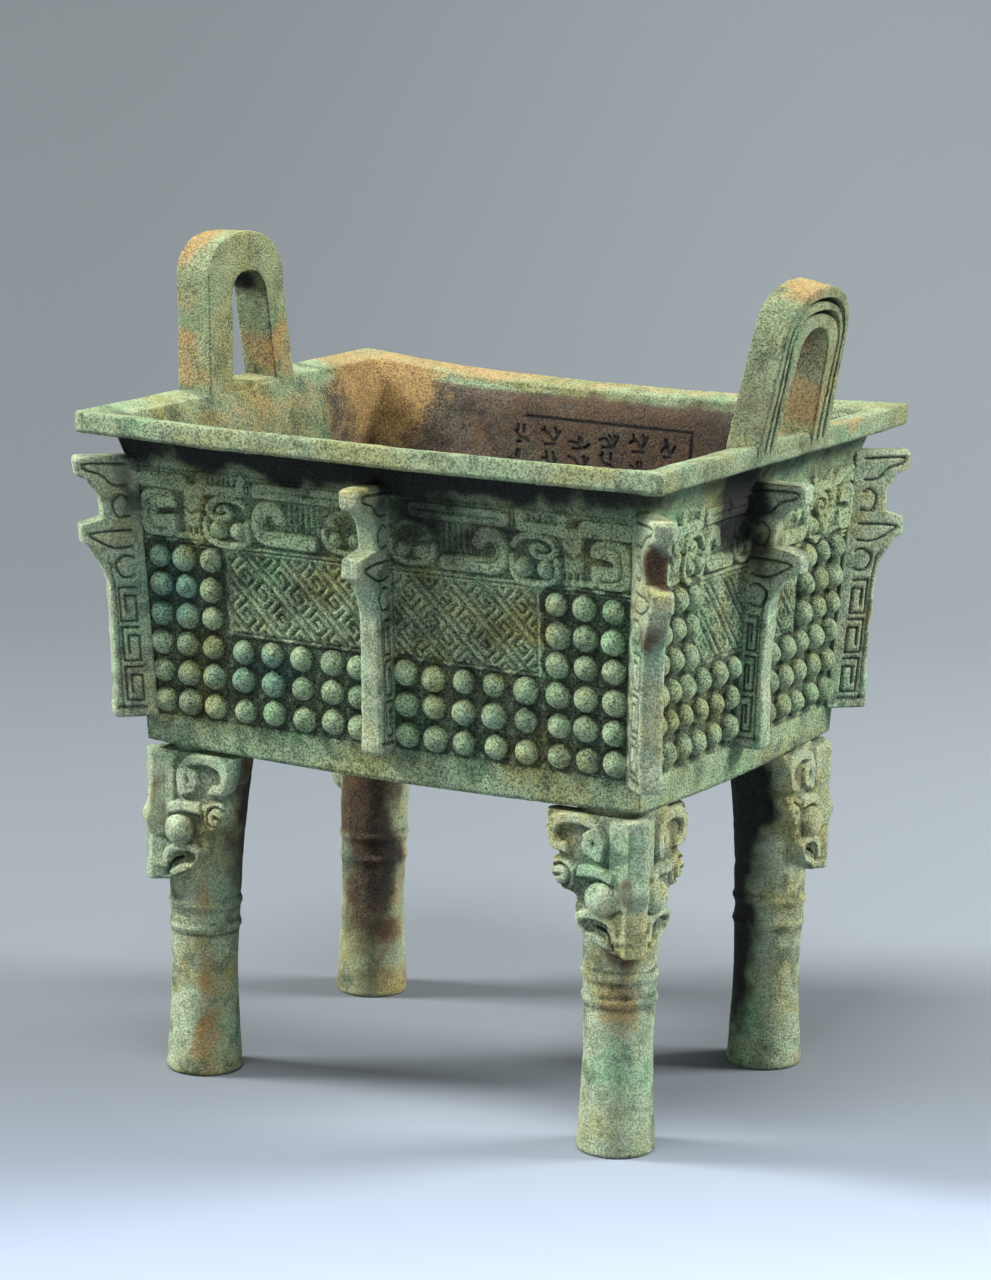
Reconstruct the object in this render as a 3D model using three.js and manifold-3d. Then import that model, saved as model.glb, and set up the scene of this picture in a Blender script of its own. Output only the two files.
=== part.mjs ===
import * as THREE from 'three';
import { mergeVertices } from 'three/addons/utils/BufferGeometryUtils.js';
import Module from 'manifold-3d';

// A cast bronze vessel: a tapering box on four round legs, with a flat rim, two loop ears,
// eight hooked flanges and walls covered in bosses. Millimetres, X along the long sides, Z up.

// Legs
const legHeight = 114.5;
const footRadius = 12.8;
const waistRadius = 11.1;
const kneeRadius = 12.1;
const shoulderRadius = 14.6;
const shoulderShift = 1.6;
const legWaistShare = 0.33;
const legKneeShare = 0.6;
const legRingHeights = [50.5, 58.5];
const legRingProud = 1;
const legRingHalfHeight = 2;
const legInset = { x: 12.3, y: 14.6 };
const legSides = 11;

// Walls, measured outside where they are widest; the bands are stacked upwards from the bottom edge
const bodyLength = 189.4;
const bodyWidth = 155.4;
const widestDrop = 10;
const lengthTaper = 4.2;
const widthTaper = 8.3;
const wallThickness = 5;
const floorThickness = 5;
const floorFillet = 4;
const bodyCorner = 1;
const footBandHeight = 9.5;
const footBandProud = 0.7;
const footBandSlope = 0.6;
const bossRows = 6;
const bossRowPitch = 9.72;
const bossFieldMargin = 5.3;
const beastBandHeight = 22.8;
const neckHeight = 12;
const neckFlare = 2;
const bottomSag = 2;

// Rim
const rimThickness = 7;
const rimOverhang = { x: 11.9, y: 14.1 };
const rimLedge = 11.3;
const rimDish = 1.6;
const rimCorner = 2;
const mouthCorner = 5;
const rimSagFront = 1.1;
const rimSagBack = 2.4;

// Bosses
const bossRadius = 4.6;
const bossHeight = 4.1;
const studSides = 7;
const blockColumns = 3;
const blockRowsBelow = 3;
const longHalf = { cornerGap: 9, blockPitch: 9.85, firstColumn: 8.8, pitch: 10.8 };
const shortHalfFront = { cornerGap: 8.8, blockPitch: 9.8, firstColumn: 11.3, pitch: 11.3 };
const shortHalfBack = { cornerGap: 10.9, blockPitch: 11.1, firstColumn: 17.3, pitch: 11.1 };

// Flat relief on the walls
const reliefHeight = 1;
const strokeWidth = 2.8;
const latticePitch = 12.4;
const latticeBarWidth = 3;
const latticeGap = 2.3;

// Flanges, hung from the underside of the rim
const flangeThickness = 7.8;
const flangeTopDrop = 7.8;
const flangeFootDrop = 1;
const flangeFootShare = 1.1;
const flangeWaistShare = 0.92;
const flangeSpurShare = 1.03;
const centreFlange = { shaft: 8.6, hook: 18.4 };
const cornerFlange = { shaft: 10.8, hook: 17.8 };
const hookDepth = 7.5;
const hookRound = 1.2;
const spurDrop = 22.4;
const spurDepth = 8;

// Ears
const earThickness = 12;
const earArch = { footHalf: 26.4, headHalf: 23, base: -3, spring: 36, top: 53.4 };
const earHole = { footHalf: 13.9, headHalf: 10.8, base: 2, spring: 28, top: 39.7 };
const earGrooves = [{ inset: 3.7, width: 1.5 }, { inset: 7.9, width: 1.5 }];
const earGrooveDepth = 2.4;
const earGrooveBase = 2;
const earLean = { right: 11.5, left: 0.5 };
const earSway = { right: -0.04, left: -0.12 };
const earShift = -1.1;

// Masks on the legs, measured from the corner of the walls and from the bottom of the body
const maskProud = 0.4;
const maskThickness = 6;
const maskGap = 2.5;
const maskHeight = 45.5;
const hornReach = 32.5;
const lobeReach = 30;
const cheekReach = 22;
const noseThickness = 7.6;
const noseReach = 0.4;
const noseSpur = 1.6;
const maskRecess = 2.2;
const hornHollow = { along: [15, 21.5], drop: [8, 17.5] };
const browSlot = { along: [8.5, 24], drop: [17.6, 20] };
const noseCurl = { along: [12, 16.5], drop: [32.5, 37.5] };
const maskEye = { along: 12.5, drop: 26, radius: 4.4, height: 2.4 };
const spurMiddleDrop = 24;
const spurHalfDepth = 3.5;

const bottomZ = legHeight;
const fieldZ = bottomZ + footBandHeight;
const fieldHeight = (bossRows - 1) * bossRowPitch + 2 * bossFieldMargin;
const bandZ = fieldZ + fieldHeight;
const neckZ = bandZ + beastBandHeight;
const rimUnderZ = neckZ + neckHeight;
const rimTopZ = rimUnderZ + rimThickness;
const widestZ = rimUnderZ - widestDrop;
const embed = 1.5;

const wasm = await Module();
wasm.setup();

function wallHalf(z) {
  const t = (widestZ - z) / (widestZ - bottomZ);
  return { x: bodyLength / 2 - lengthTaper * t, y: bodyWidth / 2 - widthTaper * t };
}

const bottomHalf = wallHalf(bottomZ);
const neckHalf = wallHalf(neckZ);
const rimHalf = { x: bodyLength / 2 + rimOverhang.x, y: bodyWidth / 2 + rimOverhang.y };
const mouthHalf = { x: rimHalf.x - rimLedge, y: rimHalf.y - rimLedge };

function grown(half, amount) {
  return { x: half.x + amount, y: half.y + amount };
}

function solid(geometry) {
  geometry.deleteAttribute('normal');
  geometry.deleteAttribute('uv');
  const merged = mergeVertices(geometry);
  const vertProperties = new Float32Array(merged.attributes.position.array);
  const triVerts = new Uint32Array(merged.index.array);
  return new wasm.Manifold(new wasm.Mesh({ numProp: 3, vertProperties, triVerts }));
}

function joined(solids) {
  let round = solids;
  while (round.length > 1) {
    const next = [];
    for (let i = 0; i < round.length; i += 2) {
      next.push(i + 1 < round.length ? round[i].add(round[i + 1]) : round[i]);
    }
    round = next;
  }
  return round[0];
}

// One level of a loft: a rectangle with cut corners whose long sides may hang in the middle
function rectangleRing(half, z, radius, sag) {
  const sideSteps = sag ? 4 : 1;
  const ring = [];
  for (let corner = 0; corner < 4; corner += 1) {
    const signX = corner === 0 || corner === 3 ? 1 : -1;
    const signY = corner < 2 ? 1 : -1;
    const alongShort = new THREE.Vector3(signX * half.x, signY * (half.y - radius), z);
    const alongLong = new THREE.Vector3(signX * (half.x - radius), signY * half.y, z);
    ring.push(...(corner % 2 === 0 ? [alongShort, alongLong] : [alongLong, alongShort]));
    if (corner % 2 === 0) {
      for (let step = 1; step < sideSteps; step += 1) {
        const x = signX * (half.x - radius) * (1 - 2 * step / sideSteps);
        const drop = (signY > 0 ? sag.back : sag.front) * (1 - (x / half.x) ** 2);
        ring.push(new THREE.Vector3(x, signY * half.y, z - drop));
      }
    }
  }
  return ring;
}

function circleRing(centre, radius, z, sides) {
  const ring = [];
  for (let side = 0; side < sides; side += 1) {
    const angle = (side + 0.5) / sides * 2 * Math.PI;
    const x = centre.x + radius * Math.cos(angle);
    const y = centre.y + radius * Math.sin(angle);
    ring.push(new THREE.Vector3(x, y, z));
  }
  return ring;
}

// A closed skin over rings that are listed from the lowest to the highest
function loft(rings) {
  const count = rings[0].length;
  const index = [];
  for (let level = 0; level + 1 < rings.length; level += 1) {
    for (let i = 0; i < count; i += 1) {
      const a = level * count + i;
      const b = level * count + (i + 1) % count;
      index.push(a, b, b + count, a, b + count, a + count);
    }
  }
  const outline = rings[0].map((point) => new THREE.Vector2(point.x, point.y));
  const last = (rings.length - 1) * count;
  for (const [a, b, c] of THREE.ShapeUtils.triangulateShape(outline, [])) {
    index.push(a, c, b, last + a, last + b, last + c);
  }
  const geometry = new THREE.BufferGeometry().setFromPoints(rings.flat());
  geometry.setIndex(index);
  return solid(geometry);
}

// Shapes are drawn in a plane that stands upright, with the depth running outwards along -Y
function plate(shape, from, to, curveSegments = 4) {
  const options = { depth: to - from, bevelEnabled: false, curveSegments };
  const geometry = new THREE.ExtrudeGeometry(shape, options);
  geometry.translate(0, 0, from);
  return geometry.rotateX(Math.PI / 2);
}

// Turns a geometry about the Z axis and moves each level of it to where the leaning wall is
function seated(geometry, turn, baseAt) {
  geometry.rotateZ(turn);
  const position = geometry.attributes.position;
  for (let i = 0; i < position.count; i += 1) {
    const base = baseAt(position.getZ(i));
    position.setX(i, position.getX(i) + base.x);
    position.setY(i, position.getY(i) + base.y);
  }
  return geometry;
}

const faces = [0, 1, 2, 3].map((quarter) => {
  const turn = quarter * Math.PI / 2;
  const out = { x: Math.round(Math.sin(turn)), y: -Math.round(Math.cos(turn)) };
  const isLong = quarter % 2 === 0;
  const baseAt = (z) => {
    const half = wallHalf(z);
    return { x: out.x * half.x, y: out.y * half.y };
  };
  const middle = wallHalf(fieldZ + fieldHeight / 2);
  const halfSpan = isLong ? middle.x : middle.y;
  const plans = isLong ? [longHalf, longHalf] : [shortHalfFront, shortHalfBack];
  const ordered = quarter === 3 ? plans.reverse() : plans;
  return { turn, baseAt, halfSpan, halves: [{ side: -1, plan: ordered[0] }, { side: 1, plan: ordered[1] }] };
});

const corners = [[1, -1], [1, 1], [-1, 1], [-1, -1]].map(([x, y]) => {
  return { x, y, turn: Math.atan2(y, x) + Math.PI / 2 };
});

function blockPlaces(face, plan) {
  const first = face.halfSpan - plan.cornerGap;
  return Array.from({ length: blockColumns }, (_, i) => first - i * plan.blockPitch);
}

function innerPlaces(face, plan) {
  const limit = Math.min(...blockPlaces(face, plan)) - 0.9 * plan.pitch;
  const places = [];
  for (let place = plan.firstColumn; place < limit; place += plan.pitch) {
    places.push(place);
  }
  return places;
}

// A stud's slope runs on into the wall behind it, so that it meets the wall at its full radius
function studGeometry(radius, height) {
  const rootRadius = radius * (1 + embed / height);
  const points = [[0, -embed], [rootRadius, -embed], [0, height]].map(([r, h]) => new THREE.Vector2(r, h));
  return new THREE.LatheGeometry(points, studSides).rotateX(Math.PI);
}

function stud(face, along, z, radius, height) {
  return solid(seated(studGeometry(radius, height).translate(along, 0, z), face.turn, face.baseAt));
}

function bossField(face) {
  const bosses = [];
  for (const { side, plan } of face.halves) {
    for (let row = 0; row < bossRows; row += 1) {
      const z = fieldZ + bossFieldMargin + row * bossRowPitch;
      const inner = row < blockRowsBelow ? innerPlaces(face, plan) : [];
      for (const place of [...blockPlaces(face, plan), ...inner]) {
        bosses.push(stud(face, side * place, z, bossRadius, bossHeight));
      }
    }
  }
  return bosses;
}

// A bent bar of even width along a line of corner points
function strokeShape(points, width) {
  const left = [];
  const right = [];
  points.forEach((point, i) => {
    const before = points[Math.max(i - 1, 0)];
    const after = points[Math.min(i + 1, points.length - 1)];
    const inward = new THREE.Vector2().subVectors(i > 0 ? point : after, i > 0 ? before : point).normalize();
    const onward = new THREE.Vector2().subVectors(i + 1 < points.length ? after : point,
      i + 1 < points.length ? point : before).normalize();
    const normal = new THREE.Vector2(-inward.y - onward.y, inward.x + onward.x).normalize();
    const mitre = width / 2 / Math.max(normal.dot(new THREE.Vector2(-inward.y, inward.x)), 0.5);
    left.push(point.clone().addScaledVector(normal, mitre));
    right.push(point.clone().addScaledVector(normal, -mitre));
  });
  return new THREE.Shape([...left, ...right.reverse()]);
}

// The beasts' main strokes, as shares of the half band: across from the centre, and up
const beastStrokes = [
  [[0.82, 0.16], [0.82, 0.84], [0.94, 0.84], [0.94, 0.16], [0.87, 0.16]],
  [[0.42, 0.84], [0.53, 0.84], [0.53, 0.18], [0.44, 0.18]],
  [[0.12, 0.18], [0.3, 0.18], [0.3, 0.82], [0.14, 0.82]],
];
const beastEye = { along: 0.64, up: 0.32, radius: 3.2, height: 1.8 };

function beastBand(face) {
  const parts = [];
  for (const { side } of face.halves) {
    const across = (share) => side * share * face.halfSpan;
    for (const stroke of beastStrokes) {
      const points = stroke.map(([u, v]) => new THREE.Vector2(across(u), bandZ + v * beastBandHeight));
      const geometry = plate(strokeShape(points, strokeWidth), -embed, reliefHeight);
      parts.push(solid(seated(geometry, face.turn, face.baseAt)));
    }
    const eyeZ = bandZ + beastEye.up * beastBandHeight;
    parts.push(stud(face, across(beastEye.along), eyeZ, beastEye.radius, beastEye.height));
  }
  return parts;
}

// Slanting bars, each cut off by the edges of the panel between the bosses
function lattice(face) {
  const parts = [];
  const low = fieldZ + bossFieldMargin + (blockRowsBelow - 1) * bossRowPitch + bossRadius + latticeGap;
  const high = bandZ - latticeGap / 2;
  const rise = high - low;
  for (const { side, plan } of face.halves) {
    const near = flangeThickness / 2 + latticeGap;
    const far = Math.min(...blockPlaces(face, plan)) - bossRadius - latticeGap;
    for (let start = near - rise + latticePitch; start < far - latticePitch / 2; start += latticePitch) {
      const from = Math.max(start, near);
      const to = Math.min(start + rise, far - latticeBarWidth);
      const around = [[from, 0], [to, 0], [to, latticeBarWidth], [from, latticeBarWidth]];
      const outline = around.map(([u, lift]) => {
        const z = side > 0 ? high - (u - start) : low + (u - start);
        return new THREE.Vector2(side * (u + lift), z);
      });
      const geometry = plate(new THREE.Shape(outline), -embed, reliefHeight);
      parts.push(solid(seated(geometry, face.turn, face.baseAt)));
    }
  }
  return parts;
}

// A flange seen from its side: a foot, a slim shaft, a spur and a hook at the top
function flange(plan, turn, baseAt) {
  const footZ = fieldZ - flangeFootDrop;
  const foot = plan.shaft * flangeFootShare;
  const waist = plan.shaft * flangeWaistShare;
  const spur = plan.hook * flangeSpurShare;
  const top = rimUnderZ - flangeTopDrop;
  const spurTop = top - spurDrop;
  const shape = new THREE.Shape();
  shape.moveTo(-embed * 2, footZ);
  shape.lineTo(foot, footZ);
  shape.lineTo(waist, (fieldZ + spurTop) / 2);
  shape.lineTo(plan.shaft * 1.08, spurTop - spurDepth * 2);
  shape.quadraticCurveTo(plan.shaft * 1.2, spurTop - spurDepth * 1.05, spur, spurTop - spurDepth);
  shape.lineTo(spur, spurTop);
  shape.lineTo(plan.shaft, spurTop + 1);
  shape.lineTo(plan.shaft, top - hookDepth * 1.6);
  shape.quadraticCurveTo(plan.shaft * 1.1, top - hookDepth, plan.hook - hookRound, top - hookDepth);
  shape.lineTo(plan.hook, top - hookDepth * 0.7);
  shape.lineTo(plan.hook, top - hookRound);
  shape.lineTo(plan.hook - hookRound, top);
  shape.lineTo(-embed * 2, top - hookRound / 2);
  const geometry = plate(shape, -flangeThickness / 2, flangeThickness / 2, 3).rotateZ(-Math.PI / 2);
  return solid(seated(geometry, turn, baseAt));
}

// An arch's outline from foot to foot: sides that close in a little, and an oval head
function archPoints(arch, inset, steps) {
  const points = [new THREE.Vector2(arch.footHalf - inset, arch.base)];
  for (let step = 0; step <= steps; step += 1) {
    const angle = step / steps * Math.PI;
    const across = (arch.headHalf - inset) * Math.cos(angle);
    const up = arch.spring + (arch.top - inset - arch.spring) * Math.sin(angle);
    points.push(new THREE.Vector2(across, up));
  }
  points.push(new THREE.Vector2(inset - arch.footHalf, arch.base));
  return points;
}

// An ear stands on the ledge with its inner face in line with the mouth, leans about that edge
// and sways a little along it
function ear(side, lean, sway) {
  const outline = new THREE.Shape(archPoints(earArch, 0, 12));
  outline.holes.push(new THREE.Path(archPoints(earHole, 0, 8)));
  const stand = (geometry) => {
    geometry.rotateZ(side * Math.PI / 2);
    const position = geometry.attributes.position;
    for (let i = 0; i < position.count; i += 1) {
      position.setY(i, position.getY(i) + earShift + sway * position.getZ(i));
    }
    return solid(geometry);
  };
  let loop = stand(plate(outline, 0, earThickness));
  for (const groove of earGrooves) {
    const arch = { ...earArch, base: earGrooveBase };
    const over = archPoints(arch, groove.inset, 10);
    const under = archPoints(arch, groove.inset + groove.width, 10);
    const channel = new THREE.Shape([...over, ...under.reverse()]);
    loop = loop.subtract(stand(plate(channel, earThickness - earGrooveDepth, earThickness + embed)));
  }
  return loop.rotate([0, side * lean, 0]).translate([side * mouthHalf.x, 0, rimTopZ - rimDish]);
}

function leg(corner) {
  const centre = {
    x: corner.x * (bottomHalf.x - legInset.x),
    y: corner.y * (bottomHalf.y - legInset.y),
  };
  const radiusAt = (z) => {
    const waistZ = legHeight * legWaistShare;
    const kneeZ = legHeight * legKneeShare;
    if (z < waistZ) {
      return THREE.MathUtils.lerp(footRadius, waistRadius, Math.sin(z / waistZ * Math.PI / 2));
    }
    if (z < kneeZ) {
      return THREE.MathUtils.lerp(waistRadius, kneeRadius, (z - waistZ) / (kneeZ - waistZ));
    }
    const rise = Math.min((z - kneeZ) / (legHeight - kneeZ), 1);
    return THREE.MathUtils.lerp(kneeRadius, shoulderRadius, rise ** 2);
  };
  const levels = [0, 0.3].map((share) => ({ z: share * legHeight, proud: 0 }));
  for (const z of legRingHeights) {
    levels.push({ z: z - legRingHalfHeight, proud: 0 });
    levels.push({ z, proud: legRingProud });
    levels.push({ z: z + legRingHalfHeight, proud: 0 });
  }
  levels.push(...[0.68, 0.88].map((share) => ({ z: share * legHeight, proud: 0 })));
  levels.push({ z: legHeight + embed, proud: 0 });
  const rings = levels.map(({ z, proud }) => {
    const shift = shoulderShift * Math.max(0, z / legHeight - legKneeShare) / (1 - legKneeShare);
    const middle = { x: centre.x - corner.x * shift, y: centre.y - corner.y * shift };
    return circleRing(middle, radiusAt(z) + proud, z, legSides);
  });
  return loft(rings);
}

// Half of a mask: horn, ear lobe and cheek on one wall plane, with the corner at zero
function maskHalfShape() {
  const top = bottomZ - maskGap;
  const foot = top - maskHeight;
  const shape = new THREE.Shape();
  shape.moveTo(0, foot);
  shape.lineTo(cheekReach * 0.5, foot);
  shape.quadraticCurveTo(cheekReach * 1.02, foot + maskHeight * 0.1, cheekReach, foot + maskHeight * 0.4);
  shape.quadraticCurveTo(lobeReach, foot + maskHeight * 0.45, lobeReach, foot + maskHeight * 0.66);
  shape.lineTo(lobeReach - 1.6, foot + maskHeight * 0.69);
  shape.quadraticCurveTo(hornReach, foot + maskHeight * 0.78, hornReach, top);
  shape.lineTo(0, top);
  return shape;
}

function recessShape(recess, top) {
  const [near, far] = recess.along;
  const [high, low] = recess.drop.map((drop) => top - drop);
  const points = [[near, low], [far, low], [far, high], [near, high]];
  return new THREE.Shape(points.map(([u, z]) => new THREE.Vector2(u, z)));
}

// A mask wraps round the outer corner of a leg; each half lies in the plane of the wall above it
function mask(corner) {
  const top = bottomZ - maskGap;
  const foot = top - maskHeight;
  const wraps = corner.x * corner.y < 0;
  const seat = grown(bottomHalf, maskProud);
  const halves = [true, false].map((facesLong) => {
    const turn = facesLong ? (1 + corner.y) * Math.PI / 2 : corner.x * Math.PI / 2;
    const mirror = facesLong === wraps ? -1 : 1;
    const put = (geometry) => {
      return solid(geometry.rotateZ(turn)).translate([corner.x * seat.x, corner.y * seat.y, 0]);
    };
    const mirrored = (shape) => {
      const points = shape.getPoints(2).map((point) => new THREE.Vector2(mirror * point.x, point.y));
      return new THREE.Shape(points);
    };
    const recesses = [hornHollow, browSlot, noseCurl].map((recess) => {
      return put(plate(mirrored(recessShape(recess, top)), -maskRecess, embed));
    });
    const face = put(plate(mirrored(maskHalfShape()), -maskThickness, 0));
    const eye = studGeometry(maskEye.radius, maskEye.height);
    const eyeball = put(eye.translate(mirror * maskEye.along, 0, top - maskEye.drop));
    return face.subtract(joined(recesses)).add(eyeball);
  });
  const noseShape = new THREE.Shape();
  noseShape.moveTo(-maskThickness * 2, foot - 1);
  noseShape.lineTo(noseReach, foot - 1);
  noseShape.lineTo(noseReach, top - spurMiddleDrop - spurHalfDepth);
  noseShape.lineTo(noseReach + noseSpur, top - spurMiddleDrop);
  noseShape.lineTo(noseReach, top - spurMiddleDrop + spurHalfDepth);
  noseShape.lineTo(noseReach, top);
  noseShape.lineTo(-maskThickness * 2, top);
  const nose = plate(noseShape, -noseThickness / 2, noseThickness / 2).rotateZ(-Math.PI / 2);
  const cornerBase = { x: corner.x * bottomHalf.x, y: corner.y * bottomHalf.y };
  return joined([...halves, solid(seated(nose, corner.turn, () => cornerBase))]);
}

function shell() {
  const sag = { front: rimSagFront, back: rimSagBack };
  const hang = { front: bottomSag, back: bottomSag };
  const level = { front: 0, back: 0 };
  const footBandTopZ = fieldZ - footBandSlope;
  const footBandTop = grown(wallHalf(footBandTopZ), footBandProud);
  const dishSlope = rimDish / rimLedge;
  const footBand = loft([
    rectangleRing(grown(bottomHalf, footBandProud), bottomZ, bodyCorner, hang),
    rectangleRing(footBandTop, footBandTopZ, bodyCorner, level),
    rectangleRing(wallHalf(fieldZ), fieldZ, bodyCorner, level),
  ]);
  const walls = loft([
    rectangleRing(wallHalf(fieldZ - embed), fieldZ - embed, bodyCorner),
    rectangleRing(neckHalf, neckZ, bodyCorner),
    rectangleRing(grown(wallHalf(rimUnderZ), neckFlare), rimUnderZ + embed, bodyCorner),
  ]);
  const rim = loft([
    rectangleRing(rimHalf, rimUnderZ, rimCorner, sag),
    rectangleRing(rimHalf, rimTopZ, rimCorner, sag),
    rectangleRing(grown(mouthHalf, -embed), rimTopZ - rimDish - embed * dishSlope, rimCorner, sag),
  ]);
  const floorZ = bottomZ + floorThickness;
  const innerHalf = (z) => grown(wallHalf(z), -wallThickness);
  const inside = loft([
    rectangleRing(grown(innerHalf(floorZ), -floorFillet), floorZ, floorFillet),
    rectangleRing(innerHalf(floorZ + floorFillet), floorZ + floorFillet, floorFillet),
    rectangleRing(innerHalf(neckZ), neckZ, floorFillet),
    rectangleRing(grown(innerHalf(rimUnderZ), neckFlare), rimUnderZ, floorFillet),
    rectangleRing(mouthHalf, rimTopZ - rimDish * 1.5, mouthCorner),
    rectangleRing(mouthHalf, rimTopZ + rimThickness, mouthCorner),
  ]);
  return joined([footBand, walls, rim]).subtract(inside);
}

const casting = joined([
  shell(),
  ...faces.flatMap((face) => [...bossField(face), ...beastBand(face), ...lattice(face)]),
  ...faces.map((face) => flange(centreFlange, face.turn, face.baseAt)),
  ...corners.map((corner) => flange(cornerFlange, corner.turn, (z) => {
    const half = wallHalf(z);
    return { x: corner.x * half.x, y: corner.y * half.y };
  })),
  ...corners.flatMap((corner) => [leg(corner), mask(corner)]),
  ear(1, earLean.right, earSway.right),
  ear(-1, earLean.left, earSway.left),
]);

function toGeometry(manifold) {
  const mesh = manifold.getMesh();
  const geometry = new THREE.BufferGeometry();
  geometry.setAttribute('position', new THREE.BufferAttribute(mesh.vertProperties, 3));
  geometry.setIndex(new THREE.BufferAttribute(mesh.triVerts, 1));
  return geometry;
}

// The origin lies on the ground under the middle of the whole outline
const geometry = toGeometry(casting);
geometry.computeBoundingBox();
const middle = geometry.boundingBox.getCenter(new THREE.Vector3());
geometry.translate(-middle.x, -middle.y, 0);
geometry.computeVertexNormals();

const bronze = new THREE.MeshStandardMaterial({ color: 0x74876a, roughness: 0.85, metalness: 0.3 });
const vessel = new THREE.Mesh(geometry, bronze);
vessel.name = 'ding_vessel';

const group = new THREE.Group();
group.add(vessel);
export default group;
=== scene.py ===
import math

import bpy
import numpy as np
from mathutils import Matrix, Vector


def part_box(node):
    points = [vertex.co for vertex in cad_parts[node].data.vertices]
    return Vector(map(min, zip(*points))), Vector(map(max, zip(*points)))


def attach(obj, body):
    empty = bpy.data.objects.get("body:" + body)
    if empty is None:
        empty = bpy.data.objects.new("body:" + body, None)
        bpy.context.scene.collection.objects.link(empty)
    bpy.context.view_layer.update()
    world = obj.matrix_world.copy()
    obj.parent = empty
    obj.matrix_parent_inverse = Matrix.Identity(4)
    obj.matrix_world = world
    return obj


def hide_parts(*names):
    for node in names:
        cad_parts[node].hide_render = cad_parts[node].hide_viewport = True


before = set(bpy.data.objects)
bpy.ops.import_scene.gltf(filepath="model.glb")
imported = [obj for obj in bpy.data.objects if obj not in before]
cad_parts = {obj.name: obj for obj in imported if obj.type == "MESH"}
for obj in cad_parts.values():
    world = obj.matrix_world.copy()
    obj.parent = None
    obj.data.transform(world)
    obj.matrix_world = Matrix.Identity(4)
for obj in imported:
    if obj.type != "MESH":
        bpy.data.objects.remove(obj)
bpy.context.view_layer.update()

nodeLow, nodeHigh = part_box("ding_vessel")

# Millimetres throughout, from the middle of the body: X along the long sides, front towards -Y
body = {
    "leftReach": 113.163,        # from the middle of the body to the lowest X of the vessel
    "length": 189.4,
    "width": 155.4,
    "lengthTaper": 4.2,
    "widthTaper": 8.3,
    "widestZ": 208.0,
    "bottomZ": 114.5,
    "bottomSag": 2.0,
    "fieldZ": 124.0,
    "bandZ": 182.6,              # here the beasts' band begins
    "neckZ": 206.0,
    "rimUnderZ": 218.0,
    "rimTopZ": 225.0,
    "neckFlare": 2.0,
    "footBandProud": 0.7,
    "wall": 5.0,
    "floor": 5.0,
    "floorFillet": 4.0,
}
shiftX = float(nodeLow[0]) * 1000 + body["leftReach"]


def smoothstep(low, high, x):
    t = np.clip((x - low) / (high - low), 0, 1)
    return t * t * (3 - 2 * t)

# Soft random lumps: values from -1 to 1 that change over the given size
def lumps(points, size, seed):
    cells = 32
    values = np.random.default_rng(seed).random((cells, cells, cells)).astype(np.float32)
    q = np.asarray(points, dtype=np.float64) / size + 64
    cell = np.floor(q).astype(np.int64)
    f = q - cell
    f = f * f * (3 - 2 * f)
    ends = (cell % cells, (cell + 1) % cells)
    total = np.zeros(q.shape[:-1])
    for corner in range(8):
        pick = [(corner >> axis) & 1 for axis in range(3)]
        x, y, z = [ends[pick[axis]][..., axis] for axis in range(3)]
        weight = np.ones(q.shape[:-1])
        for axis in range(3):
            weight = weight * (f[..., axis] if pick[axis] else 1 - f[..., axis])
        total += weight * values[x, y, z]
    return total * 2 - 1


def roughLumps(points, size, seed, levels=3):
    total = np.zeros(np.asarray(points).shape[:-1])
    for level in range(levels):
        total += lumps(points, size / 2 ** level, seed + level) / 2 ** level
    return total / 1.5


# Wear of the pieces: height, size and seed of the fine grain, then of the wide dents
wear = {
    "wall": ((0.16, 2.2, 3), (0.35, 40, 9)),
    "rim": ((0.22, 3.0, 61), (0.45, 34, 66)),
    "flange": ((0.18, 2.4, 81), (0.35, 16, 84)),
    "ear": ((0.2, 1.7, 91), (0.4, 13, 94)),
    "leg": ((0.17, 2.4, 101), (0.4, 18, 104)),
    "mask": ((0.17, 2.2, 121), (0.3, 11, 124)),
}
pits = {                             # depth, size, seed, and the lumps in which a pit opens
    "wall": (0.35, 4.5, 15, (0.35, 0.75)),
    "rim": (0.3, 5, 71, (0.3, 0.7)),
    "leg": (0.35, 5, 108, (0.3, 0.7)),
}


def wornHeight(points, part):
    return sum(height * roughLumps(points, size, seed, 2) for height, size, seed in wear[part])


def pitDepth(points, part):
    depth, size, seed, (low, high) = pits[part]
    return depth * smoothstep(low, high, roughLumps(points, size, seed, 3))


# Puts coordinates side by side; a single number counts for every point
def together(*parts):
    return np.stack(np.broadcast_arrays(*parts), axis=-1)


def wallHalf(z):
    t = (body["widestZ"] - z) / (body["widestZ"] - body["bottomZ"])
    return body["length"] / 2 - body["lengthTaper"] * t, body["width"] / 2 - body["widthTaper"] * t


# How far the foot band and the neck stand out from the leaning wall at each height
def wallProfile(z):
    foot = body["footBandProud"] * (1 - smoothstep(body["fieldZ"] - 0.9, body["fieldZ"], z))
    neck = body["neckFlare"] * smoothstep(body["neckZ"], body["rimUnderZ"], z)
    return foot + neck


# Drawing relief: every mark is a line, a disc or a panel on a plane in millimetres
ridgeEdge = 0.35                     # half of the slope at a mark's edge
grooveEdge = 0.3


def distanceTo(u, z, points):
    best = np.full(u.shape, 1e9)
    for (u0, z0), (u1, z1) in zip(points[:-1], points[1:]):
        du = u1 - u0
        dz = z1 - z0
        t = np.clip(((u - u0) * du + (z - z0) * dz) / (du * du + dz * dz + 1e-9), 0, 1)
        best = np.minimum(best, (u - u0 - t * du) ** 2 + (z - z0 - t * dz) ** 2)
    return np.sqrt(best)


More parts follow.
